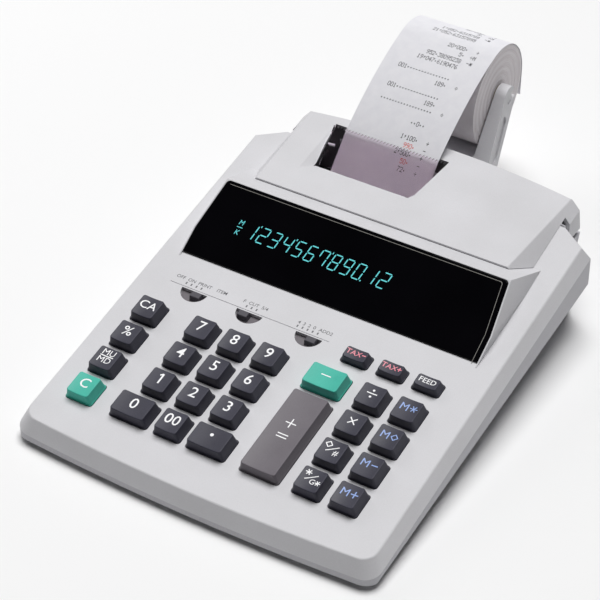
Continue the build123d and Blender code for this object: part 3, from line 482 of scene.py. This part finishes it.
looks.update({
    "blackLens": blackLens(),
    "smokedWindow": smokedWindow(),
    "paperStock": paperStock(),
    "rollEdges": rollEdges(),
    "circuitBoard": circuitBoard(),
    "sheetSteel": metal("sheetSteel", (0.50, 0.50, 0.52), (0.60, 0.60, 0.62), (0.3, 0.5), (1, 12, 12)),
    "groundSteel": metal("groundSteel", (0.60, 0.60, 0.62), (0.70, 0.70, 0.72), (0.15, 0.3), (1, 20, 20)),
    "coreSteel": metal("coreSteel", (0.13, 0.12, 0.12), (0.22, 0.21, 0.20), (0.4, 0.6), (1, 1, 30)),
    "cardboard": printed("cardboard", (0.34, 0.25, 0.16), (0.46, 0.35, 0.23), (0.8, 0.9)),
    # the legends' small emission is a painted glow: the printed paint gives off no light of its own
    "legendWhite": printed("legendWhite", (0.80, 0.80, 0.81), (0.92, 0.92, 0.93), (0.4, 0.55), 0.10),
    "legendBlue": printed("legendBlue", (0.22, 0.33, 0.66), (0.32, 0.45, 0.80), (0.4, 0.55), 0.08),
    "legendPink": printed("legendPink", (0.78, 0.20, 0.27), (0.92, 0.32, 0.38), (0.4, 0.55), 0.08),
    "deckInk": printed("deckInk", (0.10, 0.10, 0.11), (0.17, 0.17, 0.18)),
    "tapeBlack": printed("tapeBlack", (0.02, 0.02, 0.025), (0.07, 0.07, 0.08), (0.7, 0.85)),
    "tapeRed": printed("tapeRed", (0.62, 0.05, 0.04), (0.80, 0.14, 0.12), (0.7, 0.85)),
    "tubeGlass": printed("tubeGlass", (0.03, 0.06, 0.06), (0.05, 0.09, 0.09), (0.1, 0.2)),
    "digitGlow": printed("digitGlow", (0.06, 0.38, 0.40), (0.09, 0.48, 0.50), (0.5, 0.6), 0.75),
    "lensLine": printed("lensLine", (0.20, 0.19, 0.17), (0.28, 0.27, 0.25), (0.3, 0.4)),
})

finishOf = {
    "upper_casing": "casingGrey", "printer_cover": "casingGrey", "display_housing": "casingGrey",
    "roll_arm_left": "casingGrey", "roll_arm_right": "casingGrey", "roll_spindle": "casingGrey",
    "lower_casing": "baseGrey", "display_lens": "blackLens", "tear_off_window": "smokedWindow",
    "display_tube": "tubeGlass", "key_board": "circuitBoard", "main_board": "circuitBoard",
    "key_dome_mat": "matRubber", "transformer": "coreSteel", "printer_frame": "sheetSteel",
    "platen_roller": "platenRubber", "platen_gear": "gearNylon", "motor_pinion": "gearNylon",
    "drive_motor": "groundSteel", "carriage_rod": "groundSteel", "holder_shaft": "groundSteel",
    "print_carriage": "blackPlastic", "ribbon_cassette": "blackPlastic", "rubber_feet": "footRubber",
    "case_screws": "sheetSteel", "roll_core": "cardboard", "key_clear": "keyGreen",
    "key_minus": "keyGreen", "key_plus_equals": "keyGrey",
}
for name, obj in nodes.items():
    finish = finishOf.get(name, "knobGrey" if name.endswith("knob") else "keySlate")
    obj.data.materials.clear()
    obj.data.materials.append(looks[finish])
print("materials done")

# Each key: what is printed on it, as (text, size, across, up, colour), from the cap's middle.
legendUp, slimLegendUp = 1.2, 0.4
slimKeys = ("key_tax_minus", "key_tax_plus", "key_feed")
hollowDepth, rimWidth, rimBand = 0.55, 0.52, 0.35
keyPrint = {
    **{"key_%d" % n: [(str(n), 9.0, 0, 0, "legendWhite")] for n in range(10)},
    "key_1": [("upright", 6.3, 0.4, 0, "legendWhite"), ("flag", 2.0, -0.4, 2.5, "legendWhite")],
    "key_00": [("00", 8.6, 0, 0, "legendWhite")],
    "key_point": [("dot", 0.95, 0, 0.5, "legendWhite")],
    "key_clear": [("C", 8.2, 0, 0, "legendWhite")],
    "key_mu_md": [("MU", 5.2, 0, 2.5, "legendWhite"), ("bar", 7.6, 0, 0, "legendWhite"),
                  ("MD", 5.2, 0, -2.5, "legendWhite")],
    "key_percent": [("%", 8.4, 0, 0, "legendWhite")],
    "key_ca": [("CA", 7.2, 0, 0, "legendWhite")],
    "key_minus": [("bar", 5.4, 0, 0, "legendWhite")],
    "key_plus_equals": [("plus", 5.8, 0, 4.6, "legendWhite"), ("bar", 5.8, 0, -2.9, "legendWhite"),
                        ("bar", 5.8, 0, -4.8, "legendWhite")],
    "key_divide": [("bar", 5.6, 0, 0, "legendWhite"), ("dot", 0.65, 0, 2.1, "legendWhite"),
                   ("dot", 0.65, 0, -2.1, "legendWhite")],
    "key_multiply": [("cross", 5.4, 0, 0, "legendWhite")],
    "key_subtotal": [("diamond", 3.4, -2.8, 2.0, "legendWhite"), ("slash", 7.0, 0, 0, "legendWhite"),
                     ("#", 4.6, 2.6, -2.0, "legendWhite")],
    "key_total": [("star", 3.4, -2.9, 2.2, "legendWhite"), ("slash", 7.0, -0.3, 0, "legendWhite"),
                  ("G", 4.2, 1.2, -2.2, "legendWhite"), ("star", 3.0, 4.2, -2.2, "legendWhite")],
    "key_memory_total": [("M", 6.2, -1.9, 0, "legendBlue"), ("star", 4.0, 3.0, 0.2, "legendBlue")],
    "key_memory_subtotal": [("M", 6.2, -1.9, 0, "legendBlue"), ("diamond", 3.6, 3.1, 0, "legendBlue")],
    "key_memory_minus": [("M", 6.2, -1.9, 0, "legendBlue"), ("bar", 3.4, 3.1, 0, "legendBlue")],
    "key_memory_plus": [("M", 6.2, -1.9, 0, "legendBlue"), ("plus", 4.0, 3.1, 0, "legendBlue")],
    "key_tax_minus": [("TAX", 4.3, -1.3, 0.2, "legendPink"), ("bar", 2.2, 4.3, 0.2, "legendPink")],
    "key_tax_plus": [("TAX", 4.3, -1.3, 0.2, "legendPink"), ("plus", 2.4, 4.2, 0.2, "legendPink")],
    "key_feed": [("FEED", 4.3, 0, 0.2, "legendWhite")],
}
strokeWidth = 0.62


def bar(length, turn=0.0, across=0.0, up=0.0, width=strokeWidth):
    # a straight stroke as a ring of four points, in steps along it so that it follows a hollow key
    t = np.linspace(-0.5, 0.5, 7) * length
    ring = np.concatenate([np.stack([t, 0 * t - width / 2], 1), np.stack([t[::-1], 0 * t + width / 2], 1)])
    c, s = cos(turn), sin(turn)
    return ring @ np.array([[c, s], [-s, c]]) + (across, up)


def signOutlines(kind, size):
    # a sign as straight strokes, or a dot as a ring of sixteen points
    if kind == "bar":
        return [bar(size)]
    if kind == "plus":
        return [bar(size), bar(size, pi / 2)]
    if kind == "cross":
        return [bar(size, pi / 4), bar(size, -pi / 4)]
    if kind == "upright":
        return [bar(size, pi / 2, width=0.95)]
    if kind == "flag":
        return [bar(size, radians(38), width=0.85)]
    if kind == "slash":
        return [bar(size, radians(36), width=0.5)]
    if kind == "star":
        return [bar(size, a, width=0.5) for a in (0, pi / 3, -pi / 3)]
    if kind == "dot":
        t = np.arange(16) * pi / 8
        return [np.stack([np.cos(t), np.sin(t)], 1) * size]
    half = size / 2         # a diamond of four strokes
    return [bar(size * 0.78, a, x, y, 0.5) for a, x, y in
            ((pi / 4, -half / 2, half / 2), (-pi / 4, half / 2, half / 2),
             (-pi / 4, -half / 2, -half / 2), (pi / 4, half / 2, -half / 2))]


def capOf(name):
    # The key's cap, measured from its mesh in deck coordinates: its middle, its height and the
    # radius of its hollow, an arc as deep as the hollow and as wide as the cap inside its rim.
    mesh = nodes[name].data
    co = np.zeros(len(mesh.vertices) * 3)
    mesh.vertices.foreach_get("co", co)
    co = co.reshape(-1, 3) / mm - deckStart
    s, h = co @ deckUp, co @ deckNormal
    top = h > h.max() - rimBand
    middle = (co[top, 0].min() + co[top, 0].max()) / 2, (s[top].min() + s[top].max()) / 2
    half = (co[top, 0].max() - co[top, 0].min()) / 2 - rimWidth
    return middle, h.max(), (half ** 2 + hollowDepth ** 2) / (2 * hollowDepth)


def onCap(cap):
    # The hollow is a cylinder along the key, so the surface rises with the distance a from the
    # middle by the radius less the square root of the radius squared less a squared.
    (x, s), height, radius = cap

    def place(a, b, lift):
        a, b = np.asarray(a, float), np.asarray(b, float)
        rise = radius - np.sqrt(radius ** 2 - a ** 2)
        return onDeck(x + a, s + b, height + inkHeight - hollowDepth + rise + lift)
    return place


signNames = ("bar", "plus", "cross", "slash", "star", "dot", "diamond", "upright", "flag")
for name, marks in keyPrint.items():
    place = onCap(capOf(name))
    parts = {}
    up = slimLegendUp if name in slimKeys else legendUp
    for text, size, across, rise, colour in marks:
        if text in signNames:
            rings = [ring + (across, rise + up) for ring in signOutlines(text, size)]
            part = prisms(rings, place, -inkHeight, inkHeight)
        else:
            co, faces = textMesh(text, size, 0.0 if "M" in text else 0.005 * size)
            part = place(co[:, 0] + across, co[:, 1] + rise + up, co[:, 2]), faces
        parts.setdefault(colour, []).append(part)
    for colour, group in parts.items():
        legend = makeObject(name + "_legend", *joinParts(group), smooth=False)
        legend.data.materials.append(looks[colour])
        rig.ride(legend, name)
print("key legends done")

notch = {"middles": (-66.3, -32.6, 2.9), "rear": 112.4, "width": 15.4, "reach": 7.4, "depth": 2.2}
deckText = {
    "height": 3.0, "line": 118.3, "tickLine": 115.6, "tickSize": (0.75, 1.5),
    "words": [("OFF", -78.4), ("ON", -71.7), ("PRINT", -63.5), ("ITEM", -53.1), ("F", -39.2), ("CUT", -33.6),
              ("5/4", -27.0), ("4", -6.4), ("3", -3.4), ("2", -0.4), ("0", 2.6), ("ADD2", 9.2)],
    "ticks": [-73.5, -70.4, -67.3, -64.2, -36.5, -33.5, -30.5, -6.0, -3.0, 0.0, 3.0, 6.0],
}
parts = []
for word, x in deckText["words"]:
    co, faces = textMesh(word, deckText["height"], 0.02)
    parts.append((onDeck(co[:, 0] + x, co[:, 1] + deckText["line"], co[:, 2] * 0.5), faces))
lettering = makeObject("deck_lettering", *joinParts(parts), smooth=False)
lettering.data.materials.append(looks["deckInk"])
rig.ride(lettering, "root")
filmHeight = 0.03      # half the thickness of paint on the deck and the lens
tickWide, tickLong = deckText["tickSize"]
ticks = [bar(tickLong, pi / 2, x, deckText["tickLine"], tickWide) for x in deckText["ticks"]]
tickMarks = makeObject("deck_ticks", *prisms(ticks, onDeck, -filmHeight, filmHeight), smooth=False)
tickMarks.data.materials.append(looks["deckInk"])
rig.ride(tickMarks, "root")

# A dark bed on each notch's floor: the arc from corner to corner, closed by a straight edge.
bedGap, bedHeight = 0.15, 0.10
halfWide, reach = notch["width"] / 2 - bedGap, notch["reach"] - bedGap
arcRadius = (halfWide ** 2 + reach ** 2) / (2 * reach)
swing = asin(halfWide / arcRadius)
turn = np.linspace(-swing, swing, 25)
arc = np.stack([arcRadius * np.sin(turn), -reach + arcRadius * (1 - np.cos(turn))], 1)
beds = [arc + (x, notch["rear"] - bedGap) for x in notch["middles"]]
bedFloor = -notch["depth"]
bed = makeObject("switch_beds", *prisms(beds, onDeck, bedFloor - bedHeight / 2, bedFloor + bedHeight),
                 smooth=False)
bed.data.materials.append(looks["switchBed"])
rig.ride(bed, "root")
print("deck done")

lens = {"front": 128.8, "slope": radians(30), "length": 43.1 / cos(radians(30)), "half": 87.5,
        "bendHeight": 45.5, "draft": radians(14.3)}
lensFront = deckEdge + lens["front"] * tan(deckSlope)
lensStart = np.array([0.0, zeroY + lens["front"], lensFront])
lensUp = np.array([0.0, cos(lens["slope"]), sin(lens["slope"])])
lensNormal = np.array([0.0, -sin(lens["slope"]), cos(lens["slope"])])


def onLens(x, t, h):
    # a point of the lens: x across, t up its slope, h above it
    x, t, h = np.broadcast_arrays(np.asarray(x, float), t, h)
    return lensStart + np.stack([x, 0 * x, 0 * x], -1) + t[..., None] * lensUp + h[..., None] * lensNormal


digits = {"text": "123456789012", "start": -57.44, "pitch": 7.24, "width": 4.3, "foot": 21.7, "height": 8.8,
          "slant": 0.17, "stroke": 0.62, "gap": 0.22, "commas": (0, 3, 6), "point": 9,
          "comma": 1.1, "dot": 0.7, "markGap": 1.2}
# Which of the seven strokes each digit lights: top, upper right, lower right, bottom, lower left,
# upper left, middle.
segments = {"0": "abcdef", "1": "bc", "2": "abdeg", "3": "abcdg", "4": "bcfg", "5": "acdfg",
            "6": "acdefg", "7": "abcf", "8": "abcdefg", "9": "abcdfg"}
halfW, halfH = digits["width"] / 2, digits["height"] / 2
strokes = {"a": (0, 2 * halfH, 1), "g": (0, halfH, 1), "d": (0, 0, 1), "b": (halfW, 1.5 * halfH, 0),
           "c": (halfW, 0.5 * halfH, 0), "e": (-halfW, 0.5 * halfH, 0), "f": (-halfW, 1.5 * halfH, 0)}


def segment(key):
    # a stroke with pointed ends, flat or upright
    x, y, flat = strokes[key]
    half = (halfW if flat else halfH / 2) - digits["gap"]
    w = digits["stroke"] / 2
    ring = np.array([(-half, 0), (-half + w, -w), (half - w, -w), (half, 0), (half - w, w), (-half + w, w)])
    return (ring if flat else ring[:, ::-1] * (1, -1)) + (x, y)


rings = []
for place, digit in enumerate(digits["text"]):
    left = digits["start"] + place * digits["pitch"]
    group = [segment(key) for key in segments[digit]]
    if place in digits["commas"]:
        group.append(bar(digits["comma"], pi / 2, halfW + digits["markGap"], 2 * halfH, 0.5))
    if place == digits["point"]:
        group.append(bar(digits["dot"], 0, halfW + digits["markGap"], 0, digits["dot"]))
    rings += [np.stack([g[:, 0] + digits["slant"] * g[:, 1] + left, g[:, 1] + digits["foot"]], 1)
              for g in group]
glow = makeObject("display_digits", *prisms(rings, onLens, -filmHeight, filmHeight), smooth=False)
glow.data.materials.append(looks["digitGlow"])
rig.ride(glow, "root")

markPlace = {"x": -64.1, "letters": (("M", 29.0), ("K", 23.2)), "size": 4.0, "bar": (3.4, 26.2, 0.4)}
parts = []
for text, up in markPlace["letters"]:
    co, faces = textMesh(text, markPlace["size"])
    across = co[:, 0] + markPlace["x"] + digits["slant"] * co[:, 1]
    parts.append((onLens(across, co[:, 1] + up, co[:, 2] * 0.4), faces))
barLong, barUp, barWide = markPlace["bar"]
parts.append(prisms([bar(barLong, 0, markPlace["x"], barUp, barWide)], onLens, -filmHeight, filmHeight))
marks = makeObject("display_marks", *joinParts(parts), smooth=False)
marks.data.materials.append(looks["digitGlow"])
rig.ride(marks, "root")

# A thin light grey line just inside the lens's edge, across the top and down the right side.
bend = (lens["bendHeight"] - lensFront) / sin(lens["slope"])
inset, lineWidth = 2.6, 0.3


def borderLine(inset):
    # down the right side and back across the top; the side leans in above the bend
    half, top = lens["half"] - inset, lens["length"] - inset
    topHalf = half - (top - bend) * sin(lens["slope"]) * tan(lens["draft"])
    corner, foot = 1.5, 2.0
    turn = np.linspace(0, pi / 2, 7)
    right = [(half, foot), (half, bend)]
    right += [(topHalf - corner + corner * cos(a), top - corner + corner * sin(a)) for a in turn]
    return np.array(right + [(-topHalf, top)])


outer, inner = borderLine(inset), borderLine(inset + lineWidth)
count = len(outer)
sides = [onLens(edge[:, 0], edge[:, 1], h) for edge, h in
         ((outer, filmHeight), (inner, filmHeight), (inner, -filmHeight), (outer, -filmHeight))]
faces = gridFaces(4, count, wrapRows=True)[:, ::-1].tolist()
faces += [[0, count, 2 * count, 3 * count], [count - 1, 4 * count - 1, 3 * count - 1, 2 * count - 1]]
border = makeObject("display_border", np.concatenate(sides), faces, smooth=False)
border.data.materials.append(looks["lensLine"])
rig.ride(border, "root")
print("display done")

tape = {"platen": (229.0, 34.0), "platenRadius": 7.5, "leave": radians(135), "inlet": (257.0, 38.2),
        "exitHeight": 60.6, "exitSlope": radians(36), "landing": radians(105), "lap": rollRadius + 0.4,
        "tail": 46.0, "thickness": 0.12, "slotEnd": 275.0}


def lowerTouch(centre, radius, point):
    # where the lower tangent from an outside point touches a circle
    run, rise = centre[0] - point[0], centre[1] - point[1]
    reach = sqrt(run ** 2 + rise ** 2)
    heading = atan2(rise, run) - (1 if run > 0 else -1) * asin(radius / reach)
    length = sqrt(reach ** 2 - radius ** 2)
    return np.array([point[0] + length * cos(heading), point[1] + length * sin(heading)])


def arcOf(centre, radius, start, end, n):
    # n points of a circle: the centre plus the radius times the cosine and sine of the turn
    a = np.linspace(start, end, n)
    return np.stack([centre[0] + radius * np.cos(a), centre[1] + radius * np.sin(a)], 1)


hub = (rollStation, rollHeight)
platen, inlet = tape["platen"], np.array(tape["inlet"])
rollTouch = lowerTouch(hub, tape["lap"], inlet)
platenTouch = lowerTouch(platen, tape["platenRadius"], inlet)
platenLeave = arcOf(platen, tape["platenRadius"], tape["leave"], tape["leave"], 1)[0]
exitPoint = np.array([platenLeave[0] + tape["exitHeight"] - platenLeave[1], tape["exitHeight"]])
landing = arcOf(hub, tape["lap"], tape["landing"], tape["landing"], 1)[0]
startTurn = atan2(platenTouch[1] - platen[1], platenTouch[0] - platen[0])
aroundPlaten = arcOf(platen, tape["platenRadius"], startTurn, tape["leave"] - 2 * pi, 40)
low = np.concatenate([np.linspace(inlet, platenTouch, 16)[:-1], aroundPlaten[:-1],
                      np.linspace(platenLeave, exitPoint, 24)])
feed = np.linspace(rollTouch, inlet, 30)

# From the slot to the roll it is a cubic whose ends have the slot's and the roll's directions.
chord = np.linalg.norm(landing - exitPoint)
leaveDir = chord * np.array([cos(tape["exitSlope"]), sin(tape["exitSlope"])])
landDir = chord * np.array([sin(tape["landing"]), -cos(tape["landing"])])
t = np.linspace(0, 1, 81)[:, None]
flight = ((2 * t ** 3 - 3 * t ** 2 + 1) * exitPoint + (t ** 3 - 2 * t ** 2 + t) * leaveDir
          + (3 * t ** 2 - 2 * t ** 3) * landing + (t ** 3 - t ** 2) * landDir)
over = arcOf(hub, tape["lap"], tape["landing"], 0, 70)
tail = np.linspace((hub[0] + tape["lap"], hub[1]), (hub[0] + tape["lap"], tape["tail"]), 12)
upper = np.concatenate([flight, over[1:], tail[1:]])


def pathFrame(path):
    # distance along a path and its upper normal, a quarter turn left of its direction
    step = np.gradient(path, axis=0)
    step /= np.linalg.norm(step, axis=1)[:, None]
    run = np.concatenate([[0], np.cumsum(np.linalg.norm(np.diff(path, axis=0), axis=1))])
    return run, np.stack([-step[:, 1], step[:, 0]], 1)


def stripAlong(name, path, normal):
    # A thin strip: a closed flat ring of points across the paper, carried along the path.
    n = 13      # points across, on each side
    x = np.linspace(paperLeft, paperRight, n)
    across = np.concatenate([x, x[::-1]])
    side = np.concatenate([np.ones(n), -np.ones(n)]) * tape["thickness"] / 2
    points = np.zeros((len(path), 2 * n, 3))
    points[..., 0] = across
    points[..., 1] = zeroY + path[:, 0, None] + normal[:, 0, None] * side
    points[..., 2] = path[:, 1, None] + normal[:, 1, None] * side
    faces = gridFaces(len(path), 2 * n, wrapColumns=True)
    i = np.arange(n - 1)
    first = np.stack([i, 2 * n - 1 - i, 2 * n - 2 - i, i + 1], 1)
    last = first[:, ::-1] + (len(path) - 1) * 2 * n
    faces = np.concatenate([faces, first, last])
    strip = makeObject(name, points.reshape(-1, 3), faces)
    strip.data.materials.append(looks["paperStock"])
    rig.slot(strip, "paper_white")
    return strip


def pointAt(station, z):
    # a station and height as a point in metres
    return (0, (zeroY + station) * mm, z * mm)


upperRun, upperNormal = pathFrame(upper)
lowRun, lowNormal = pathFrame(low)
_, feedNormal = pathFrame(feed)
slotCount = int(np.searchsorted(flight[:, 0], tape["slotEnd"])) + 1
coverBend = dict(start=pointAt(230, 42), end=pointAt(230, 60))
slotBend = dict(start=pointAt(exitPoint[0], 60), end=pointAt(tape["slotEnd"], 60))
rollBend = dict(start=pointAt(tape["slotEnd"], 80), end=pointAt(rollStation - 8, 80))
feedBend = dict(start=pointAt(262, 38), end=pointAt(rollStation - 8, 38))
lap = stripAlong("paper_tape_lap", upper[slotCount - 1:], upperNormal[slotCount - 1:])
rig.replaces(lap, "paper_tape")
slot = stripAlong("paper_tape_slot", upper[:slotCount], upperNormal[:slotCount])
wrap = stripAlong("paper_tape_wrap", low, lowNormal)
supply = stripAlong("paper_tape_feed", feed, feedNormal)
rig.blend(lap, "root", "roll_holder", **rollBend)
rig.blend(slot, "cover", "root", **slotBend)
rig.blend(wrap, "root", "cover", **coverBend)
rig.blend(supply, "root", "roll_holder", **feedBend)
print("tape done")

# Five by seven dot characters, one number per row, the highest bit at the left.
glyphs = {
    "0": (14, 17, 17, 17, 17, 17, 14), "1": (4, 12, 4, 4, 4, 4, 14), "2": (14, 17, 1, 2, 4, 8, 31),
    "3": (31, 2, 4, 2, 1, 17, 14), "4": (2, 6, 10, 18, 31, 2, 2), "5": (31, 16, 30, 1, 1, 17, 14),
    "6": (6, 8, 16, 30, 17, 17, 14), "7": (31, 1, 2, 4, 8, 8, 8), "8": (14, 17, 17, 14, 17, 17, 14),
    "9": (14, 17, 17, 15, 1, 2, 12), "+": (0, 4, 4, 31, 4, 4, 0), "-": (0, 0, 0, 31, 0, 0, 0),
    "x": (0, 17, 10, 4, 10, 17, 0), "/": (0, 4, 0, 31, 0, 4, 0), "*": (0, 21, 14, 31, 14, 21, 0),
    ".": (0, 0, 0, 12, 12, 0, 0), "'": (0, 4, 14, 4, 8, 0, 0), "#": (4, 10, 17, 10, 4, 0, 0),
    "=": (0, 0, 31, 0, 31, 0, 0), "M": (17, 27, 21, 21, 17, 17, 17),
}
printing = {"pitch": 1.78, "dot": (0.33, 0.42), "dotStep": (0.30, 0.42), "line": 4.46, "first": -11.6,
            "rightEdge": -11.4, "signEdge": -4.6, "ink": 0.02}
# Each line: its number from the slot, what it says, the sign beside it, and 1 where it is red.
tapeLines = [
    (0, "72.", "/", 0), (1, "50.", "-", 1), (2, "2'500.", "+", 0), (3, "990.", "-", 1), (4, "1'100.", "+", 0),
    (6, "..0..", "", 0), (8, "." * 18, "#", 0), (9, "189.", "", 0), (10, "001" + "." * 15, "", 0),
    (12, "189.", "#", 0), (13, "001" + "." * 15, "", 0), (15, "19'047.6190476", "", 0),
    (16, "952.38095238", "-*", 0), (17, "5.", "/M", 0), (18, "20'000.", "/", 0),
    (20, "21'052.63157895", "", 0), (21, "1'052.6315789", "-*", 0), (22, "5.", "/M", 0),
    (23, "20'000.", "/", 0),
]


def lineDots(text, right, s):
    # the middles of a line's dots, as (x, distance along the tape)
    found = []
    stepAcross, stepAlong = printing["dotStep"]
    for place, letter in enumerate(text):
        left = right - (len(text) - place) * printing["pitch"]
        for row, bits in enumerate(glyphs[letter]):
            lit = [c for c in range(5) if bits >> (4 - c) & 1]
            found += [(left + c * stepAcross, s + (3 - row) * stepAlong) for c in lit]
    return found


tapeRun = np.concatenate([lowRun - lowRun[-1], upperRun[1:]])
tapePath = np.concatenate([low, upper[1:]])
tapeNormal = np.concatenate([lowNormal, upperNormal[1:]])


def onTape(x, s, lift):
    # a point of the printed side: x across, s along the tape from the slot
    y, z = np.interp(s, tapeRun, tapePath[:, 0]), np.interp(s, tapeRun, tapePath[:, 1])
    ny, nz = np.interp(s, tapeRun, tapeNormal[:, 0]), np.interp(s, tapeRun, tapeNormal[:, 1])
    rise = tape["thickness"] / 2 + lift
    return np.stack([x, zeroY + y + ny * rise, z + nz * rise], -1)


def dotMesh(dots):
    # one small square tile for each dot
    dots = np.array(dots)
    corner = np.array([(-1, -1), (1, -1), (1, 1), (-1, 1)]) * np.array(printing["dot"]) / 2
    ring = dots[:, None, :] + corner[None]
    lowSide = onTape(ring[..., 0], ring[..., 1], -printing["ink"])
    highSide = onTape(ring[..., 0], ring[..., 1], printing["ink"])
    points = np.concatenate([lowSide, highSide], 1).reshape(-1, 3)
    box = np.array([(3, 2, 1, 0), (4, 5, 6, 7), (0, 1, 5, 4), (1, 2, 6, 5), (2, 3, 7, 6), (3, 0, 4, 7)])
    return points, (np.arange(len(dots))[:, None, None] * 8 + box).reshape(-1, 4)


slotEndRun = float(upperRun[slotCount - 1])
stretches = [("wrap", tapeRun[0], 0, ("root", "cover"), coverBend),
             ("slot", 0, slotEndRun, ("cover", "root"), slotBend),
             ("lap", slotEndRun, tapeRun[-1], ("root", "roll_holder"), rollBend)]
for where, start, end, pair, bending in stretches:
    for colour, ink in enumerate(("tapeBlack", "tapeRed")):
        dots = []
        for line, text, sign, red in tapeLines:
            s = printing["first"] + line * printing["line"]
            if red == colour:
                dots += lineDots(text, printing["rightEdge"], s)
            if colour == 0 and sign:
                dots += lineDots(sign, printing["signEdge"], s)
        dots = [d for d in dots if start <= d[1] < end]
        if dots:
            piece = makeObject("tape_print_%s_%s" % (where, ink[4:].lower()), *dotMesh(dots), smooth=False)
            piece.data.materials.append(looks[ink])
            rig.blend(piece, *pair, **bending)
print("printing done")

# A profile turned round the axis. Its ends step in and out by a tenth of a millimetre from one
# group of windings to the next.
coreRadius = 6.55
radii = np.linspace(coreRadius, rollRadius, 70)
uneven = 0.10 * np.sin(radii * 2.1) + 0.07 * np.sin(radii * 5.3 + 1) + 0.05 * np.sin(radii * 11.7)
uneven -= uneven.max() + 0.02       # both ends stay inside the paper's width
leftEnd = np.stack([paperLeft - uneven, radii], 1)
rightEnd = np.stack([paperRight + uneven, radii], 1)[::-1]
outline = np.concatenate([leftEnd, rightEnd])
turns = np.linspace(0, 2 * pi, 96, endpoint=False)
points = np.zeros((len(turns), len(outline), 3))
points[..., 0] = outline[:, 0]
points[..., 1] = zeroY + rollStation + np.cos(turns)[:, None] * outline[:, 1]
points[..., 2] = rollHeight + np.sin(turns)[:, None] * outline[:, 1]
roll = makeObject("wound_roll", points.reshape(-1, 3),
                  gridFaces(len(turns), len(outline), wrapRows=True, wrapColumns=True))
roll.data.materials.append(looks["rollEdges"])
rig.slot(roll, "paper_white")
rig.replaces(roll, "paper_roll")
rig.ride(roll, "roll")
print("roll done")

floorMat, _, floorShader, _ = startMaterial("paleFloor")
floorShader.inputs["Base Color"].default_value = (0.90, 0.90, 0.90, 1)
floorShader.inputs["Roughness"].default_value = 0.9
floorShader.inputs["Specular IOR Level"].default_value = 0.0
floorHalf, floorDrop = 6000, 0.05
corners = [(x * floorHalf, y * floorHalf, -floorDrop) for x, y in ((-1, -1), (1, -1), (1, 1), (-1, 1))]
floor = makeObject("floor", corners, [(0, 1, 2, 3)], smooth=False)
floor.data.materials.append(floorMat)
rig.stage(floor)

world = bpy.data.worlds.new("studio")
bpy.context.scene.world = world
world.use_nodes = True
sky = world.node_tree.nodes["Background"]
sky.inputs["Color"].default_value = (0.98, 0.98, 1.0, 1)
sky.inputs["Strength"].default_value = 0.05
bpy.context.scene.view_settings.view_transform = "Standard"

# A very soft high sun lights the floor evenly to its edges; a weak panel fills from the left.
machineMiddle = 0.03
lamps = {   # place in metres, aimed at the middle of the machine
    "topLight": dict(kind="SUN", place=(-0.05, 0.36, 1.5), angle=radians(38), energy=2.9),
    "leftLight": dict(kind="AREA", place=(-1.1, 0.3, 0.9), size=0.8, energy=3.0),
}
for name, lampLook in lamps.items():
    data = bpy.data.lights.new(name, lampLook["kind"])
    data.energy = lampLook["energy"]
    if lampLook["kind"] == "SUN":
        data.angle = lampLook["angle"]
    else:
        data.shape, data.size = "SQUARE", lampLook["size"]
    lamp = bpy.data.objects.new(name, data)
    bpy.context.scene.collection.objects.link(lamp)
    lamp.location = lampLook["place"]
    aim = Vector((0, 0, machineMiddle)) - lamp.location
    lamp.rotation_mode = "QUATERNION"
    lamp.rotation_quaternion = aim.to_track_quat("-Z", "Y")
    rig.stage(lamp)

view = {"turn": (radians(50.61), radians(0.16), radians(31.10)), "place": (0.4293, -0.77185, 0.7385),
        "lens": 129.16}
cameraData = bpy.data.cameras.new("camera")
camera = bpy.data.objects.new("camera", cameraData)
bpy.context.scene.collection.objects.link(camera)
cameraData.sensor_width, cameraData.lens = 36.0, view["lens"]
cameraData.clip_start, cameraData.clip_end = 0.01, 50
camera.location = view["place"]
camera.rotation_euler = view["turn"]
bpy.context.scene.camera = camera
print("camera set")

with open("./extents.json", "w") as out:
    json.dump({"cad": [list(c) for c in cadBox], "visual": [list(c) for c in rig.bounds()]}, out)
